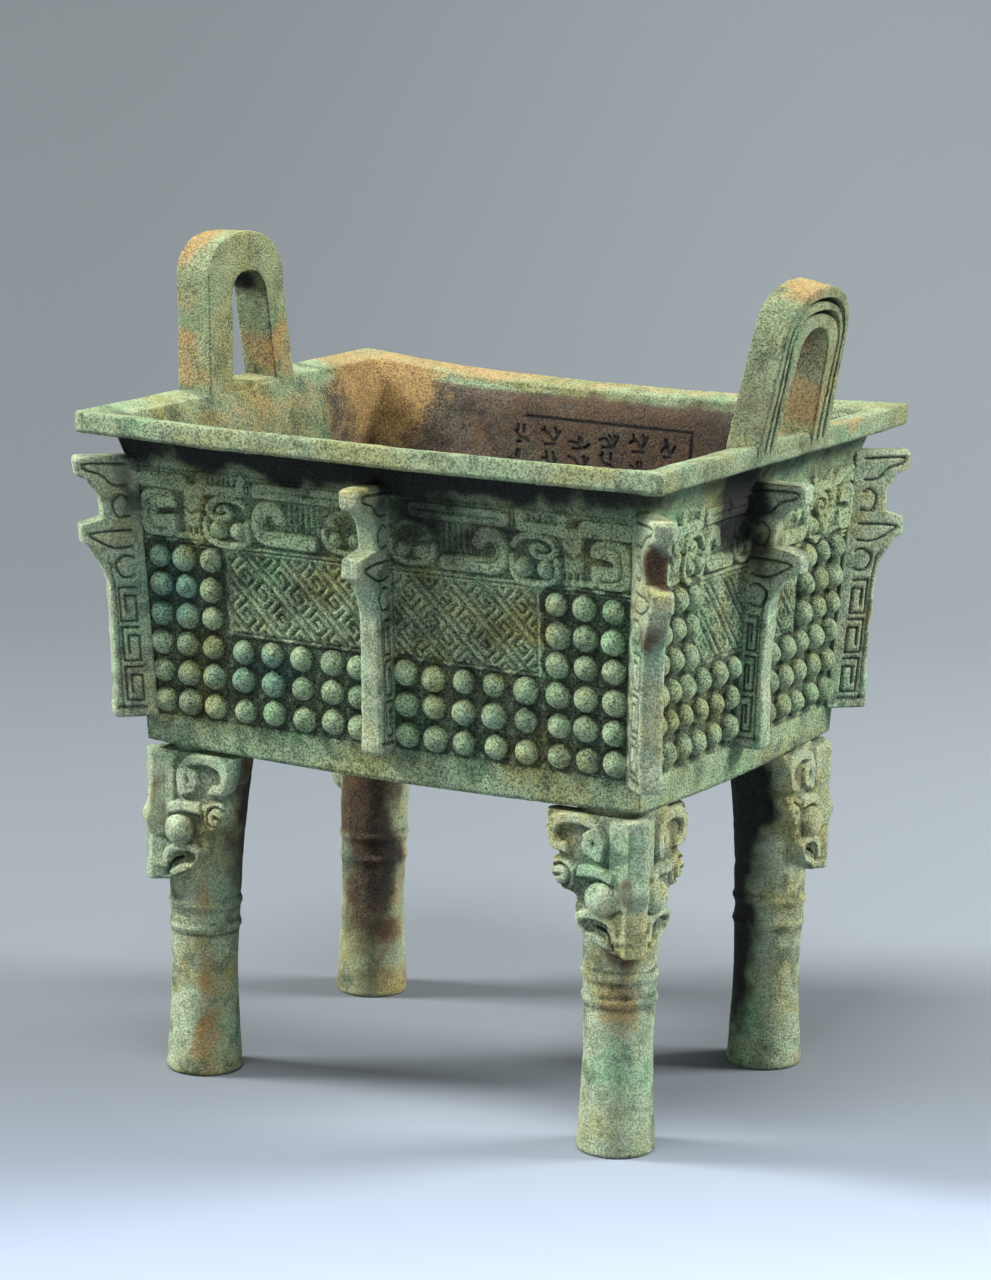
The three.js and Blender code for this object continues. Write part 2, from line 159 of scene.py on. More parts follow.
# Rounds a line of corner points into a smooth one
def rounded(points, steps=4):
    full = [points[0]] + list(points) + [points[-1]]
    result = []
    for i in range(1, len(full) - 2):
        p0, p1, p2, p3 = [np.array(full[i + k], dtype=float) for k in (-1, 0, 1, 2)]
        for step in range(steps):
            t = step / steps
            bend = 2 * p1 + (p2 - p0) * t + (2 * p0 - 5 * p1 + 4 * p2 - p3) * t ** 2
            result.append(tuple(0.5 * (bend + (3 * p1 - p0 - 3 * p2 + p3) * t ** 3)))
    result.append(tuple(points[-1]))
    return result


def drawMarks(u, z, marks):
    height = np.zeros(u.shape)
    for kind, shape, width, rise in marks:
        if kind == "ridge":
            edge = smoothstep(width / 2 + ridgeEdge, width / 2 - ridgeEdge, distanceTo(u, z, shape))
            height = np.maximum(height, rise * edge)
        elif kind == "disc":
            r = np.hypot(u - shape[0], z - shape[1]) / width
            dome = rise * np.sqrt(np.clip(1 - r * r, 0, 1))
            height = np.where(r < 1, np.maximum(height, dome), height)
        elif kind == "panel":
            u0, z0, u1, z1 = shape
            outU = np.abs(u - (u0 + u1) / 2) - (u1 - u0) / 2 + width
            outZ = np.abs(z - (z0 + z1) / 2) - (z1 - z0) / 2 + width
            out = np.hypot(np.maximum(outU, 0), np.maximum(outZ, 0)) - width
            out = out + np.minimum(np.maximum(outU, outZ), 0)
            height = np.maximum(height, rise * smoothstep(ridgeEdge, -ridgeEdge, out))
        elif kind == "groove":
            edge = smoothstep(width / 2 + grooveEdge, width / 2 - grooveEdge, distanceTo(u, z, shape))
            height = height - rise * edge
    return height


# The beasts' band, drawn for a half 91 mm wide, from the middle flange to the corner
def beastMarks():
    marks = [
        ("panel", (3.5, 184.6, 91.5, 206.0), 0.5, 0.15),
        ("ridge", rounded([(4.6, 192.0), (5.6, 187.6), (12.0, 185.7), (18.6, 187.6), (20.2, 192.0)]),
         2.4, 1.0),
        ("disc", (8.6, 189.9), 2.7, 1.7),
        ("disc", (15.8, 189.9), 2.7, 1.7),
        ("ridge", rounded([(6.0, 196.0), (9.5, 198.6), (15.0, 198.4), (18.5, 195.5), (15.5, 193.8)]),
         1.9, 0.8),
        ("ridge", [(13.5, 203.2), (44.5, 203.0)], 5.2, 1.0),
        ("groove", [(25.6, 206.5), (26.4, 203.4)], 2.2, 1.2),
        ("groove", [(13.0, 203.1), (43.0, 203.0)], 0.7, 0.45),
        ("ridge", rounded([(36.4, 194.8), (38.0, 197.3), (42.2, 197.4), (44.6, 194.0), (44.4, 190.0),
                           (41.6, 187.7), (36.0, 187.5), (24.6, 187.3)]), 4.9, 1.3),
        ("groove", rounded([(42.6, 196.0), (43.6, 192.0), (41.6, 189.0), (36.0, 188.4)]), 0.6, 0.5),
        ("ridge", [(50.6, 206.0), (51.4, 201.6), (67.6, 201.4)], 3.5, 1.1),
        ("ridge", [(65.8, 205.4), (66.2, 201.0)], 4.0, 1.1),
        ("ridge", [(68.0, 201.2), (73.0, 201.8)], 3.0, 1.0),
        ("ridge", [(74.0, 203.0), (88.2, 203.0)], 5.6, 1.0),
        ("ridge", rounded([(48.6, 195.4), (51.0, 198.2), (56.0, 199.1), (61.0, 198.2), (63.4, 195.4),
                           (61.6, 192.8), (57.4, 192.6), (55.2, 194.6), (57.0, 196.2), (59.2, 195.2)]),
         2.3, 1.3),
        ("disc", (67.8, 197.4), 2.2, 1.6),
        ("ridge", rounded([(48.6, 191.6), (48.4, 188.0), (50.6, 184.6), (56.0, 183.8), (62.0, 184.6),
                           (64.4, 188.0), (64.0, 191.6)]), 2.6, 1.4),
        ("disc", (52.2, 188.7), 3.2, 2.3),
        ("disc", (60.0, 188.7), 3.2, 2.3),
        ("ridge", [(69.6, 199.4), (69.6, 191.6)], 6.6, 0.95),
        ("groove", rounded([(67.0, 194.6), (69.8, 193.0), (72.0, 194.6)]), 0.8, 0.6),
        ("ridge", [(67.2, 191.0), (67.2, 185.0)], 1.2, 0.9),
        ("ridge", [(69.6, 191.0), (69.6, 185.0)], 1.2, 0.9),
        ("ridge", [(72.0, 191.0), (72.0, 185.0)], 1.2, 0.9),
        ("ridge", [(66.4, 185.2), (76.0, 185.4)], 2.2, 0.9),
        ("panel", (75.6, 184.4, 89.6, 200.0), 4.2, 1.25),
        ("groove", [(74.0, 193.4), (82.4, 192.6)], 2.0, 1.4),
        ("groove", rounded([(85.8, 196.6), (86.2, 189.6), (84.0, 187.3), (79.4, 187.0)]), 0.7, 0.7),
        ("groove", rounded([(78.0, 197.6), (82.0, 198.2), (85.0, 197.4)]), 0.6, 0.5),
    ]
    for first, pitch, teeth, top, low, width, rise in ((22.6, 2.1, 6, 199.6, 191.4, 0.9, 0.75),
                                                       (46.2, 1.6, 3, 206.0, 200.4, 0.7, 0.7),
                                                       (54.8, 2.0, 5, 206.0, 203.8, 0.9, 0.7)):
        for tooth in range(teeth):
            u = first + pitch * tooth
            marks.append(("ridge", [(u, top), (u, low)], width, rise))
    return marks


# The hooked lattice between the bosses: square spirals and long bars on a grid turned by 45 degrees
lattice = {
    "pitch": 9.47,
    "ground": 0.8,
    "groove": 0.96,
    "depth": 1.75,
    "reach": 0.36,
    "edge": (0.22, 0.22),            # slope outside and inside a spiral's groove
    "barEdge": (0.32, 0.16),
    "rightPhase": (11.0, 162.0),
    "longPhase": (-17.0, 168.4),
    "shortPhase": (-14.0, 168.4),
}


def latticeHeight(u, z, box, phase):
    u0, z0, u1, z1 = box
    a = ((u - phase[0]) - (z - phase[1])) / math.sqrt(2) / lattice["pitch"]
    b = ((u - phase[0]) + (z - phase[1])) / math.sqrt(2) / lattice["pitch"]
    cellA = np.round(a)
    cellB = np.round(b)
    mirror = np.where((cellA + cellB) % 2 == 0, 1, -1)
    p = (a - cellA) * lattice["pitch"] * mirror
    q = (b - cellB) * lattice["pitch"] * mirror
    r = lattice["reach"] * lattice["pitch"]
    spiral = [(-r, r), (-r, -r * 0.36), (r * 0.34, -r * 0.36), (r * 0.34, r * 0.3), (-r * 0.3, r * 0.3)]
    shut = [(r, -r), (r, r * 0.36)]
    far = lattice["pitch"] / 2 + 0.2
    hook = np.minimum(distanceTo(p, q, spiral), distanceTo(p, q, shut))
    bar = np.minimum(distanceTo(p, q, [(-far, r), (far, r)]), distanceTo(p, q, [(-far, -r), (far, -r)]))
    half = lattice["groove"] / 2
    cuts = [smoothstep(half + outer, half - inner, line)
            for line, (outer, inner) in ((hook, lattice["edge"]), (bar, lattice["barEdge"]))]
    inside = smoothstep(-0.3, 0.3, np.minimum(np.minimum(u - u0, u1 - u), np.minimum(z - z0, z1 - z)))
    return inside * (lattice["ground"] - lattice["depth"] * np.maximum(*cuts))


# Where the bosses stand, for one half of a face
bosses = {
    "radius": 4.55,
    "height": 4.35,
    "rows": [129.3, 139.3, 149.1, 158.8, 168.4, 177.9],
    "segments": 14,
    "rings": 7,
    "sizeSpread": 0.1,
    "largest": 1.03,
    "jitter": 0.22,
    "shortLift": 1.2,                # how much higher the field sits on the short sides
    "seed": 5,
    "long": {"inner": [8.8, 18.8, 29.6, 40.8, 52.0], "block": [63.5, 73.3, 83.2]},
    "shortFront": {"inner": [11.3, 22.5, 34.0], "block": [44.6, 54.3, 64.0]},
    "shortBack": {"inner": [17.3, 28.4], "block": [39.6, 50.8, 61.9]},
}
faces = [
    {"name": "wallFront", "turn": 0, "long": True, "plans": ("long", "long"), "step": 0.4},
    {"name": "wallRight", "turn": 1, "long": False, "plans": ("shortFront", "shortBack"), "step": 0.4},
    {"name": "wallBack", "turn": 2, "long": True, "plans": ("long", "long"), "step": 0.72},
    {"name": "wallLeft", "turn": 3, "long": False, "plans": ("shortBack", "shortFront"), "step": 0.72},
]

def fieldLift(face):
    return 0.0 if face["long"] else bosses["shortLift"]


def bossPlaces(face):
    places = []
    for side, planName in zip((-1, 1), face["plans"]):
        plan = bosses[planName]
        for row, z in enumerate(bosses["rows"]):
            columns = plan["block"] + (plan["inner"] if row < 3 else [])
            places += [(side * column, z + fieldLift(face)) for column in columns]
    return places


# Where the parts of a wall's relief begin and end, and the thin lines between them
relief = {
    "beastHalf": 91.0,               # the half side that the beasts are drawn for
    "shortHalf": 74.6,               # and the one they are squeezed onto
    "beastRise": 1.5,
    "beastBase": -0.3,
    "fieldLow": 153.0,
    "fieldInner": 4.0,
    "latticeLow": 155.3,
    "latticeTop": 181.0,
    "latticeInner": 4.6,
    "frameLow": 154.2,
    "frameTop": 181.6,
    "frameInner": 4.2,
    "frameGap": 1.6,                 # from the bosses to the frame, and from the frame to the lattice
    "frameRise": 0.7,
    "stripRise": 0.45,
    "stripHalf": 1.1,
    "lines": ((183.4, 0.8), (181.9, 0.6), (206.3, 0.6), (124.8, 0.35)),      # height on the wall, rise
}


# Height of the relief over the wall, and how open each spot is (0 deep, 1 high); the finish paints dirt and
# shade where it is low
def wallRelief(face, s, z):
    near = np.minimum.reduce([np.hypot(s - c, z - h) for c, h in bossPlaces(face)])
    height = np.zeros(s.shape)
    band = z > body["bandZ"]
    across = np.abs(s) * relief["beastHalf"] / relief["beastHalf" if face["long"] else "shortHalf"]
    height[band] = drawMarks(across[band], z[band], beastMarks()) * relief["beastRise"] + relief["beastBase"]
    lift = fieldLift(face)
    base = relief["frameLow"] + lift
    phases = (lattice["longPhase" if face["long"] else "shortPhase"], lattice["rightPhase"])
    for side, planName, phase in zip((-1, 1), face["plans"], phases):
        far = min(bosses[planName]["block"]) - bosses["radius"] - relief["frameGap"]
        near0, far0 = relief["latticeInner"], far - relief["frameGap"]
        low, high = (near0, far0) if side > 0 else (-far0, -near0)
        mine = (s * side > relief["fieldInner"]) & (z > relief["fieldLow"]) & (z < body["bandZ"])
        box = (low, relief["latticeLow"] + lift, high, relief["latticeTop"])
        height[mine] = np.maximum(height[mine], 0) + latticeHeight(s[mine], z[mine], box, phase)
        corner = [(side * relief["frameInner"], base), (side * far, base), (side * far, relief["frameTop"])]
        line = smoothstep(0.75, 0.25, distanceTo(s, z, corner))
        strip = smoothstep(0.4, -0.4, np.abs(s * side - far) - relief["stripHalf"]) * (z > 154) * (z < 182)
        height = np.maximum(height, np.maximum(line * relief["frameRise"], strip * relief["stripRise"]))
    for level, rise in relief["lines"]:
        height = np.maximum(height, rise * smoothstep(0.75, 0.25, np.abs(z - level)))
    openness = 0.36 + 0.40 * np.clip(height, -0.8, 1.4)
    # A low ring round each boss: dirt and painted shade at the boss's foot
    openness = np.where(near < bosses["radius"] + 1.9, 0.27, openness)
    plain = (z < body["fieldZ"]) | (z > body["neckZ"] + 1)
    return height, np.where(plain, 0.7, openness)


# Patches of dirt and corrosion, each a soft ball: middle, size, strength. The dark bands along the front and
# right necks are painted shadow under the overhanging rim.
patches = {
    "sootAndShade": [
        # Dark bands along the front neck: painted shadow under the overhanging rim
        ((0, -78, 216), (120, 8, 10), 1.4), ((50, -78, 217), (62, 8, 11), 1.2),
        ((17, -79, 204), (18, 9, 14), 0.8), ((36, -79, 194), (24, 9, 9), 0.55),
        ((96, -14, 206), (9, 19, 19), 1.1), ((97, 0, 190), (9, 9, 16), 0.8),
        # First here, a dark band along the right neck: painted shadow under the rim
        ((96, 10, 215), (9, 90, 8), 0.6), ((-92, -79, 196), (6, 8, 22), 0.5),
        ((60, 74, 210), (40, 6, 12), 0.5), ((0, 60, 150), (70, 25, 26), 0.4),
        ((-104, 5, 259), (7, 6.5, 5), 1.0), ((70, 44, 92), (14, 12, 34), 1.5),
        ((70, 45, 46), (11, 10, 38), 1.0), ((-69, 49, 50), (6, 6, 24), 0.7),
        ((-66, -48, 92), (7, 9, 26), 0.8), ((66, -44, 92), (9, 10, 22), 0.45),
    ],
    "ochre": [
        ((-92, 70, 216), (27, 22, 24), 1.0), ((-92, 10, 212), (8, 70, 16), 0.40),
        ((-108, -12, 274), (6, 22, 9), 1.2), ((-104, -29, 234), (9, 7, 9), 0.9),
        ((-101, 14, 238), (9, 5, 14), 1.0), ((-96, 22, 232), (5, 8, 18), 0.55),
        ((-103, -29, 255), (9, 5, 14), 0.35), ((114, -12, 274), (12, 18, 7), 0.85),
        ((104, 10, 236), (12, 6, 12), 0.95), ((97, 2, 225), (5, 28, 2.6), 0.6),
        ((-60, 90, 225), (52, 12, 6), 0.9), ((6, 88, 224), (60, 10, 4), 0.5),
        ((104, 46, 224), (9, 16, 4), 0.6), ((-68, -68, 34), (6, 7, 38), 0.85),
        ((-78, 55, 4), (16, 16, 14), 0.7), ((-68, 50, 40), (6, 8, 40), 0.5),
        ((3, -90, 150), (5, 8, 44), 0.4), ((84, -66, 50), (6, 8, 14), 0.5),
        ((78, -60, 20), (14, 14, 18), 0.2), ((70, 10, 118), (30, 30, 6), 0.4),
    ],
    "brown": [
        ((-75, 46, 64), (13, 10, 60), 1.0), ((-68, -48, 86), (9, 12, 40), 0.8),
        ((102, -85, 195), (7, 7, 8), 1.0), ((101, -84, 172), (5, 5, 9), 0.6),
        ((88, -70, 88), (5, 5, 6), 0.8), ((84, -66, 66), (9, 9, 6), 0.7),
        ((70, 48, 60), (8, 12, 50), 0.5), ((10, 76, 205), (70, 8, 20), 0.75),
        ((-86, -74, 92), (4, 6, 16), 0.5), ((40, -79, 198), (8, 5, 5), 0.4),
        ((36, -78, 160), (3, 4, 3), 0.6), ((104, 9, 252), (10, 6, 13), 0.85),
        ((-101, 12, 256), (8, 5, 8), 0.55), ((95, -70, 214), (9, 12, 5), 0.6),
        ((104, -27, 240), (12, 6, 16), 0.5),
    ],
    "teal": [
        ((-80, -80, 166), (15, 12, 18), 0.9), ((-46, -80, 142), (26, 12, 12), 0.85),
        ((56, -79, 188), (13, 8, 9), 0.6), ((-96, 20, 212), (18, 30, 14), 0.25),
        ((30, -80, 136), (34, 8, 14), 0.5), ((78, -62, 100), (20, 14, 10), 0.3),
        ((-70, -62, 88), (14, 12, 8), 0.3), ((-30, 82, 150), (40, 14, 25), 0.5),
        ((104, -28, 250), (10, 6, 16), 0.4), ((96, 30, 150), (8, 26, 20), 0.3),
    ],
}
patchSeeds = {"sootAndShade": 21, "ochre": 31, "brown": 41, "teal": 51}
patchFray = {"size": 13, "reach": 5, "outer": 1.45, "core": 0.35}


def patchStrength(points, name):
    seed = patchSeeds[name]
    warp = np.stack([roughLumps(points, patchFray["size"], seed + axis, 3) for axis in range(3)], axis=-1)
    moved = points + warp * patchFray["reach"]
    total = np.zeros(len(points))
    for middle, size, strength in patches[name]:
        r = np.sqrt((((moved - np.array(middle)) / np.array(size)) ** 2).sum(axis=1))
        total = np.maximum(total, strength * smoothstep(patchFray["outer"], patchFray["core"], r))
    return np.clip(total, 0, 1)


pieceCount = {"pieces": 0, "triangles": 0}


# Turns points and faces into a finished piece: shading, attributes for dirt and painted shade, material and
# frame calls
def addPiece(name, points, polygons, openness, material, inner=None):
    points = np.asarray(points, dtype=np.float64)
    place = points * 0.001
    place[:, 0] += shiftX * 0.001
    place = np.clip(place, np.array(nodeLow[:]), np.array(nodeHigh[:]))
    mesh = bpy.data.meshes.new(name)
    mesh.from_pydata(place.tolist(), [], polygons)
    values = {"openness": openness, "inner": np.zeros(len(points)) if inner is None else inner}
    for label in patchSeeds:
        values[label] = patchStrength(points, label)
    for label, amount in values.items():
        layer = mesh.attributes.new(label, "FLOAT", "POINT")
        layer.data.foreach_set("value", np.asarray(amount, dtype=np.float32))
    if signedVolume(mesh) < 0:
        mesh.flip_normals()
    mesh.shade_smooth()
    mesh.materials.append(material)
    piece = bpy.data.objects.new(name, mesh)
    bpy.context.scene.collection.objects.link(piece)
    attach(piece, "root")
    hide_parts("ding_vessel")
    pieceCount["pieces"] += 1
    pieceCount["triangles"] += sum(len(polygon) - 2 for polygon in polygons)
    return piece


def signedVolume(mesh):
    mesh.calc_loop_triangles()
    corners = np.zeros(len(mesh.loop_triangles) * 3, dtype=np.int32)
    mesh.loop_triangles.foreach_get("vertices", corners)
    points = np.zeros(len(mesh.vertices) * 3)
    mesh.vertices.foreach_get("co", points)
    triangles = points.reshape(-1, 3)[corners.reshape(-1, 3)]
    return float(np.einsum("ij,ij->i", triangles[:, 0], np.cross(triangles[:, 1], triangles[:, 2])).sum())


# Quads over a grid of rows and columns; a closed grid joins its last column to its first
def gridFaces(rows, columns, closed=False, start=0):
    index = np.arange(rows * columns).reshape(rows, columns) + start
    if closed:
        index = np.concatenate([index, index[:, :1]], axis=1)
    quads = np.stack([index[:-1, :-1], index[:-1, 1:], index[1:, 1:], index[1:, :-1]], axis=-1)
    return quads.reshape(-1, 4).tolist()

# Faces of a closed loft: quads between its rings and one flat cap at each end
def loftFaces(rows, columns, start=0):
    last = start + (rows - 1) * columns
    caps = [[start + i for i in range(columns)][::-1], [last + i for i in range(columns)]]
    return gridFaces(rows, columns, closed=True, start=start) + caps


# Walls: each is a slab with a carved outer face and a flat back inside the casting
wallSlab = {
    "depth": 2.6,
    "thinning": 0.85,                # share of the depth that is gone at the top
    "thinFromZ": 211.0,
    "overlap": 0.2,
    "coarse": 1.1,                   # step up the wall where it is plain
    "sideways": 1.12,                # columns are this much wider than the rows are high
    "backOpenness": 0.3,
}


def turned(points, quarter):
    c = round(math.cos(quarter * math.pi / 2))
    s = round(math.sin(quarter * math.pi / 2))
    result = np.array(points, dtype=np.float64)
    result[..., 0] = points[..., 0] * c - points[..., 1] * s
    result[..., 1] = points[..., 0] * s + points[..., 1] * c
    return result


def makeWall(face, material):
    top = body["rimUnderZ"] + wallSlab["overlap"]
    coarse = wallSlab["coarse"]
    step = face["step"]
    footZ = body["fieldZ"] - 1
    bossZ = body["fieldZ"] + 1
    fieldZ = relief["fieldLow"]
    plainZ = body["neckZ"] + 1.5
    zs = np.concatenate([np.linspace(body["bottomZ"], footZ, 7)[:-1], np.arange(footZ, bossZ, 0.5),
                         np.arange(bossZ, fieldZ, coarse), np.arange(fieldZ, plainZ, step),
                         np.arange(plainZ, top, coarse), [top]])
    span = body["length"] if face["long"] else body["width"]
    w, z = np.meshgrid(np.linspace(-1, 1, int(span / (step * wallSlab["sideways"]))), zs)
    rows, columns = w.shape
    halfX, halfY = wallHalf(z)
    along, out = (halfX, halfY) if face["long"] else (halfY, halfX)
    profile = wallProfile(z)
    s = w * along
    height, openness = wallRelief(face, s, z)
    plain = together(s, z, float(face["turn"] * 50))
    ends = smoothstep(1.0, 0.985, np.abs(w))
    height = (height + wornHeight(plain, "wall") - pitDepth(plain, "wall")) * ends
    low = z - body["bottomSag"] * (1 - w ** 2) * (1 - smoothstep(body["bottomZ"], body["fieldZ"], z))
    front = together(w * (along + profile), -(out + profile + height), low).reshape(-1, 3)
    inset = wallSlab["depth"] * (1 - wallSlab["thinning"] * smoothstep(wallSlab["thinFromZ"], top, z))
    back = together(w * (along - inset), -(out - inset), low).reshape(-1, 3)
    index = np.arange(rows * columns).reshape(rows, columns)
    loop = np.concatenate([index[0, :-1], index[:-1, -1], index[-1, :0:-1], index[:0:-1, 0]])
    start = len(front)
    count = len(loop)
    polygons = gridFaces(rows, columns)
    for i in range(count):
        j = (i + 1) % count
        polygons.append([int(loop[j]), int(loop[i]), start + i, start + j])
    polygons.append([start + i for i in range(count)][::-1])
    points = turned(np.concatenate([front, back[loop]]), face["turn"])
    openness = np.concatenate([openness.reshape(-1), np.full(count, wallSlab["backOpenness"])])
    return addPiece(face["name"], points, polygons, openness, material)


# Rim and inside: one skin from the floor up over the mouth and the ledge, and back down in the wall
rim = {
    "overhang": (11.9, 14.1),
    "ledge": 11.3,
    "dish": 1.6,
    "corner": 2.2,
    "mouthCorner": 5.0,
    "mouthDrop": 1.2,
    "flare": 3.2,                    # the higher, the later the inside opens to the mouth
    "sagFront": 1.1,
    "sagBack": 2.4,
    "sagFromZ": 212,                 # from here up the inside follows the sag of the rim
    "leftLift": 1.3,
    "edge": 0.9,
    "skin": 2.4,                     # how deep in the walls the skin comes down again
    # Lower openness inside and on the floor: dirt and painted shade within the vessel
    "openness": {"floor": 0.35, "inside": 0.45, "rim": 0.75, "bottom": 0.6},
    "innerEndZ": (216.5, 223),       # between these heights the inner tones give way to the green
    "greenInside": 0.75,
    "greenX": (-60, -84),
    "greenY": (50, 30),
}
rimHalf = (body["length"] / 2 + rim["overhang"][0], body["width"] / 2 + rim["overhang"][1])
mouthHalf = (rimHalf[0] - rim["ledge"], rimHalf[1] - rim["ledge"])
mouthZ = body["rimTopZ"] - rim["dish"] - rim["mouthDrop"]

# Rows of shallow strokes on the far wall that are no letters
inscription = {
    "left": -37.0,
    "right": 34.8,
    "top": 210.5,
    "low": 172.0,
    "columns": 6,
    "stroke": 0.75,
    "depth": 0.7,
    "seed": 12,
}


def inscriptionStrokes():
    rng = np.random.default_rng(inscription["seed"])
    left = inscription["left"]
    right = inscription["right"]
    top = inscription["top"]
    low = inscription["low"]
    strokes = [[(left + 7, top + 0.2), (right, top)], [(right, top), (right - 0.4, low + 3)]]
    pitch = (right - left - 3) / inscription["columns"]
    for column in range(inscription["columns"]):
        middle = left + pitch * (column + 0.5)
        z = top - 5.5 - 2 * rng.random()
        while z > low:
            tall = 4.0 + 2.4 * rng.random()
            wide = pitch * (0.22 + 0.14 * rng.random())
            lean = 1.2 * rng.random() - 0.6
            strokes.append(rounded([(middle - wide, z + tall * (0.5 - rng.random())),
                                    (middle - wide * 0.3, z + tall * 0.45 * lean),
                                    (middle + wide * 0.4, z - tall * (0.2 + 0.3 * rng.random())),
                                    (middle + wide, z + tall * lean)]))
            for share in rng.random(2):
                x = middle + wide * (2 * share - 1) * 0.8
                strokes.append([(x, z + tall * 0.5), (x + 1.4 * lean + 0.5, z + tall * 0.1)])
            strokes.append([(middle - wide * 0.6, z - tall * 0.5),
                            (middle + wide * (0.2 + lean), z - tall * 0.45)])
            z -= tall + 2.6
    return strokes


# Stations along the four sides, closer together on the back where the inscription is
def rimStations():
    plain = np.linspace(-1, 1, 70)
    fine = 0.45
    coarse = np.linspace(-1, -fine, 24)[:-1]
    back = np.concatenate([coarse, np.linspace(-fine, fine, 160), -coarse[::-1]])
    return plain, plain, back, plain


# One ring: a rectangle with round corners, its points in the same order at every level
def rimRing(half, radius):
    points = []
    sides = []
    angles = np.linspace(-90, 0, 7)[1:-1] * math.pi / 180
    for side, stations in enumerate(rimStations()):
        along, out = half if side % 2 == 0 else half[::-1]
        straight = together(stations * (along - radius), -out)
        bend = together(along - radius + radius * np.cos(angles), -(out - radius) + radius * np.sin(angles))
        points.append(turned(np.concatenate([straight, bend]), side))
        sides += [side] * len(straight) + [side + 0.5] * len(bend)
    return np.concatenate(points), np.array(sides)


# The inside leans with the wall, then opens in one soft curve to the mouth
def insideHalf(z):
    x, y = less(wallHalf(z), body["wall"])
    t = float(np.clip((z - body["neckZ"]) / (mouthZ - body["neckZ"]), 0, 1)) ** rim["flare"]
    return x + (mouthHalf[0] - x) * t, y + (mouthHalf[1] - y) * t


def less(half, amount):
    return half[0] - amount, half[1] - amount


# Every level of the skin in order: half sizes, corner radius, height and part
def rimLevels():
    bottomZ = body["bottomZ"]
    topZ = body["rimTopZ"]
    underZ = body["rimUnderZ"]
    fillet = body["floorFillet"]
    corner = rim["corner"]
    mouthCorner = rim["mouthCorner"]
    edge = rim["edge"]
    floorZ = bottomZ + body["floor"]
    x, y = less(insideHalf(floorZ), fillet)
    levels = [((x * k, y * k), max(fillet * k, 0.5), floorZ, "floor") for k in (0.05, 0.3, 0.55, 0.8, 1.0)]
    for step in range(1, 5):
        angle = step / 4 * math.pi / 2
        z = floorZ + fillet * (1 - math.cos(angle))
        levels.append((less(insideHalf(z), fillet * (1 - math.sin(angle))), fillet, z, "inside"))
    for z in np.concatenate([np.linspace(127, 180, 24), np.linspace(182, mouthZ, 84)]):
        radius = fillet + (mouthCorner - fillet) * smoothstep(body["neckZ"], mouthZ, z)
        levels.append((insideHalf(z), radius, z, "inside"))
    ledgeZ = topZ - rim["dish"]
    levels.append((less(mouthHalf, -0.3), mouthCorner, ledgeZ - 0.25, "rim"))
    levels.append((less(mouthHalf, -1.0), mouthCorner, ledgeZ, "rim"))
    for share in np.linspace(0.18, 0.92, 9):
        radius = mouthCorner * (1 - share) + corner * share
        levels.append((less(mouthHalf, -rim["ledge"] * share), radius, ledgeZ + rim["dish"] * share, "rim"))
    under = rimHalf[0] - wallHalf(underZ)[0] + 0.5
    profile = [(edge * 0.3, topZ - edge * 0.1), (0, topZ - edge)]
    profile += [(0, topZ - (topZ - underZ) * share) for share in np.linspace(0.25, 0.75, 5)]
    profile += [(0, underZ + edge), (edge, underZ)]
    profile += [(under * share, underZ) for share in (0.3, 0.65, 1.0)]
    levels += [(less(rimHalf, inset), corner, z, "rim") for inset, z in profile]
    for z in (212, 180, 150, 120, bottomZ):
        levels.append((less(wallHalf(z), rim["skin"]), 1.5, z, "bottom"))
    x, y = less(wallHalf(bottomZ), rim["skin"])
    levels += [((x * k, y * k), 1.0, bottomZ, "bottom") for k in (0.8, 0.5, 0.2, 0.05)]
    return levels


def rimAndInside(material):
    levels = rimLevels()
    rows = []
    normals = []
    for half, radius, z, part in levels:
        flat, side = rimRing(half, radius)
        share = np.clip(flat[:, 0] / half[0], -1, 1)
        level = np.full(len(flat), float(z))
        if part == "rim" or (part == "inside" and z > rim["sagFromZ"]):
            sag = np.where(side == 0, rim["sagFront"], np.where(side == 2, rim["sagBack"], 0))
            lift = rim["leftLift"] * smoothstep(-0.5, -1.0, share) * (flat[:, 1] > 0)
            fade = 1.0 if part == "rim" else float(smoothstep(rim["sagFromZ"], mouthZ, z))
            level = level + (lift - sag * (1 - share ** 2)) * fade
        elif part == "bottom" and z == body["bottomZ"]:
            level = level - body["bottomSag"] * (1 - share ** 2)
        rows.append(together(*flat.T, level))
        normal = np.zeros((len(flat), 3))
        if part == "inside":
            toward = -flat / np.array(half)
            size = np.abs(toward).max(axis=1, keepdims=True)
            normal[:, :2] = np.where(np.abs(toward) > size * 0.985, np.sign(toward), 0)
        elif part != "bottom":
            normal[:, 2] = 1
        normals.append(normal)
    grid = np.stack(rows)
    normals = np.stack(normals)
    openness = np.stack([np.full(grid.shape[1], rim["openness"][level[3]]) for level in levels])
    move = wornHeight(grid, "rim") - pitDepth(grid, "rim")
    isBack = (grid[..., 1] > 60) & (normals[..., 1] < -0.5)
    spotX = grid[..., 0][isBack]
    spotZ = grid[..., 2][isBack]
    half = inscription["stroke"] / 2
    cut = np.zeros(spotX.shape)
    for stroke in inscriptionStrokes():
        cut = np.maximum(cut, smoothstep(half + 0.3, half - 0.25, distanceTo(spotX, spotZ, stroke)))
    carved = np.zeros(move.shape)
    carved[isBack] = cut
    grid = grid + normals * (move - inscription["depth"] * carved)[..., None]
    # Carved strokes lower the openness: dirt and painted shade in the cuts
    openness = openness - 0.45 * carved
    green = rim["greenInside"] * smoothstep(*rim["greenX"], grid[..., 0])
    green = green * smoothstep(*rim["greenY"], grid[..., 1])
    inner = np.array([1 - float(smoothstep(*rim["innerEndZ"], z)) if part in ("inside", "floor") else 0.0
                      for half, radius, z, part in levels])[:, None] * (1 - green)
    points = grid.reshape(-1, 3)
    polygons = loftFaces(*grid.shape[:2])
    return addPiece("rimAndInside", points, polygons, openness.reshape(-1), material, inner.reshape(-1))


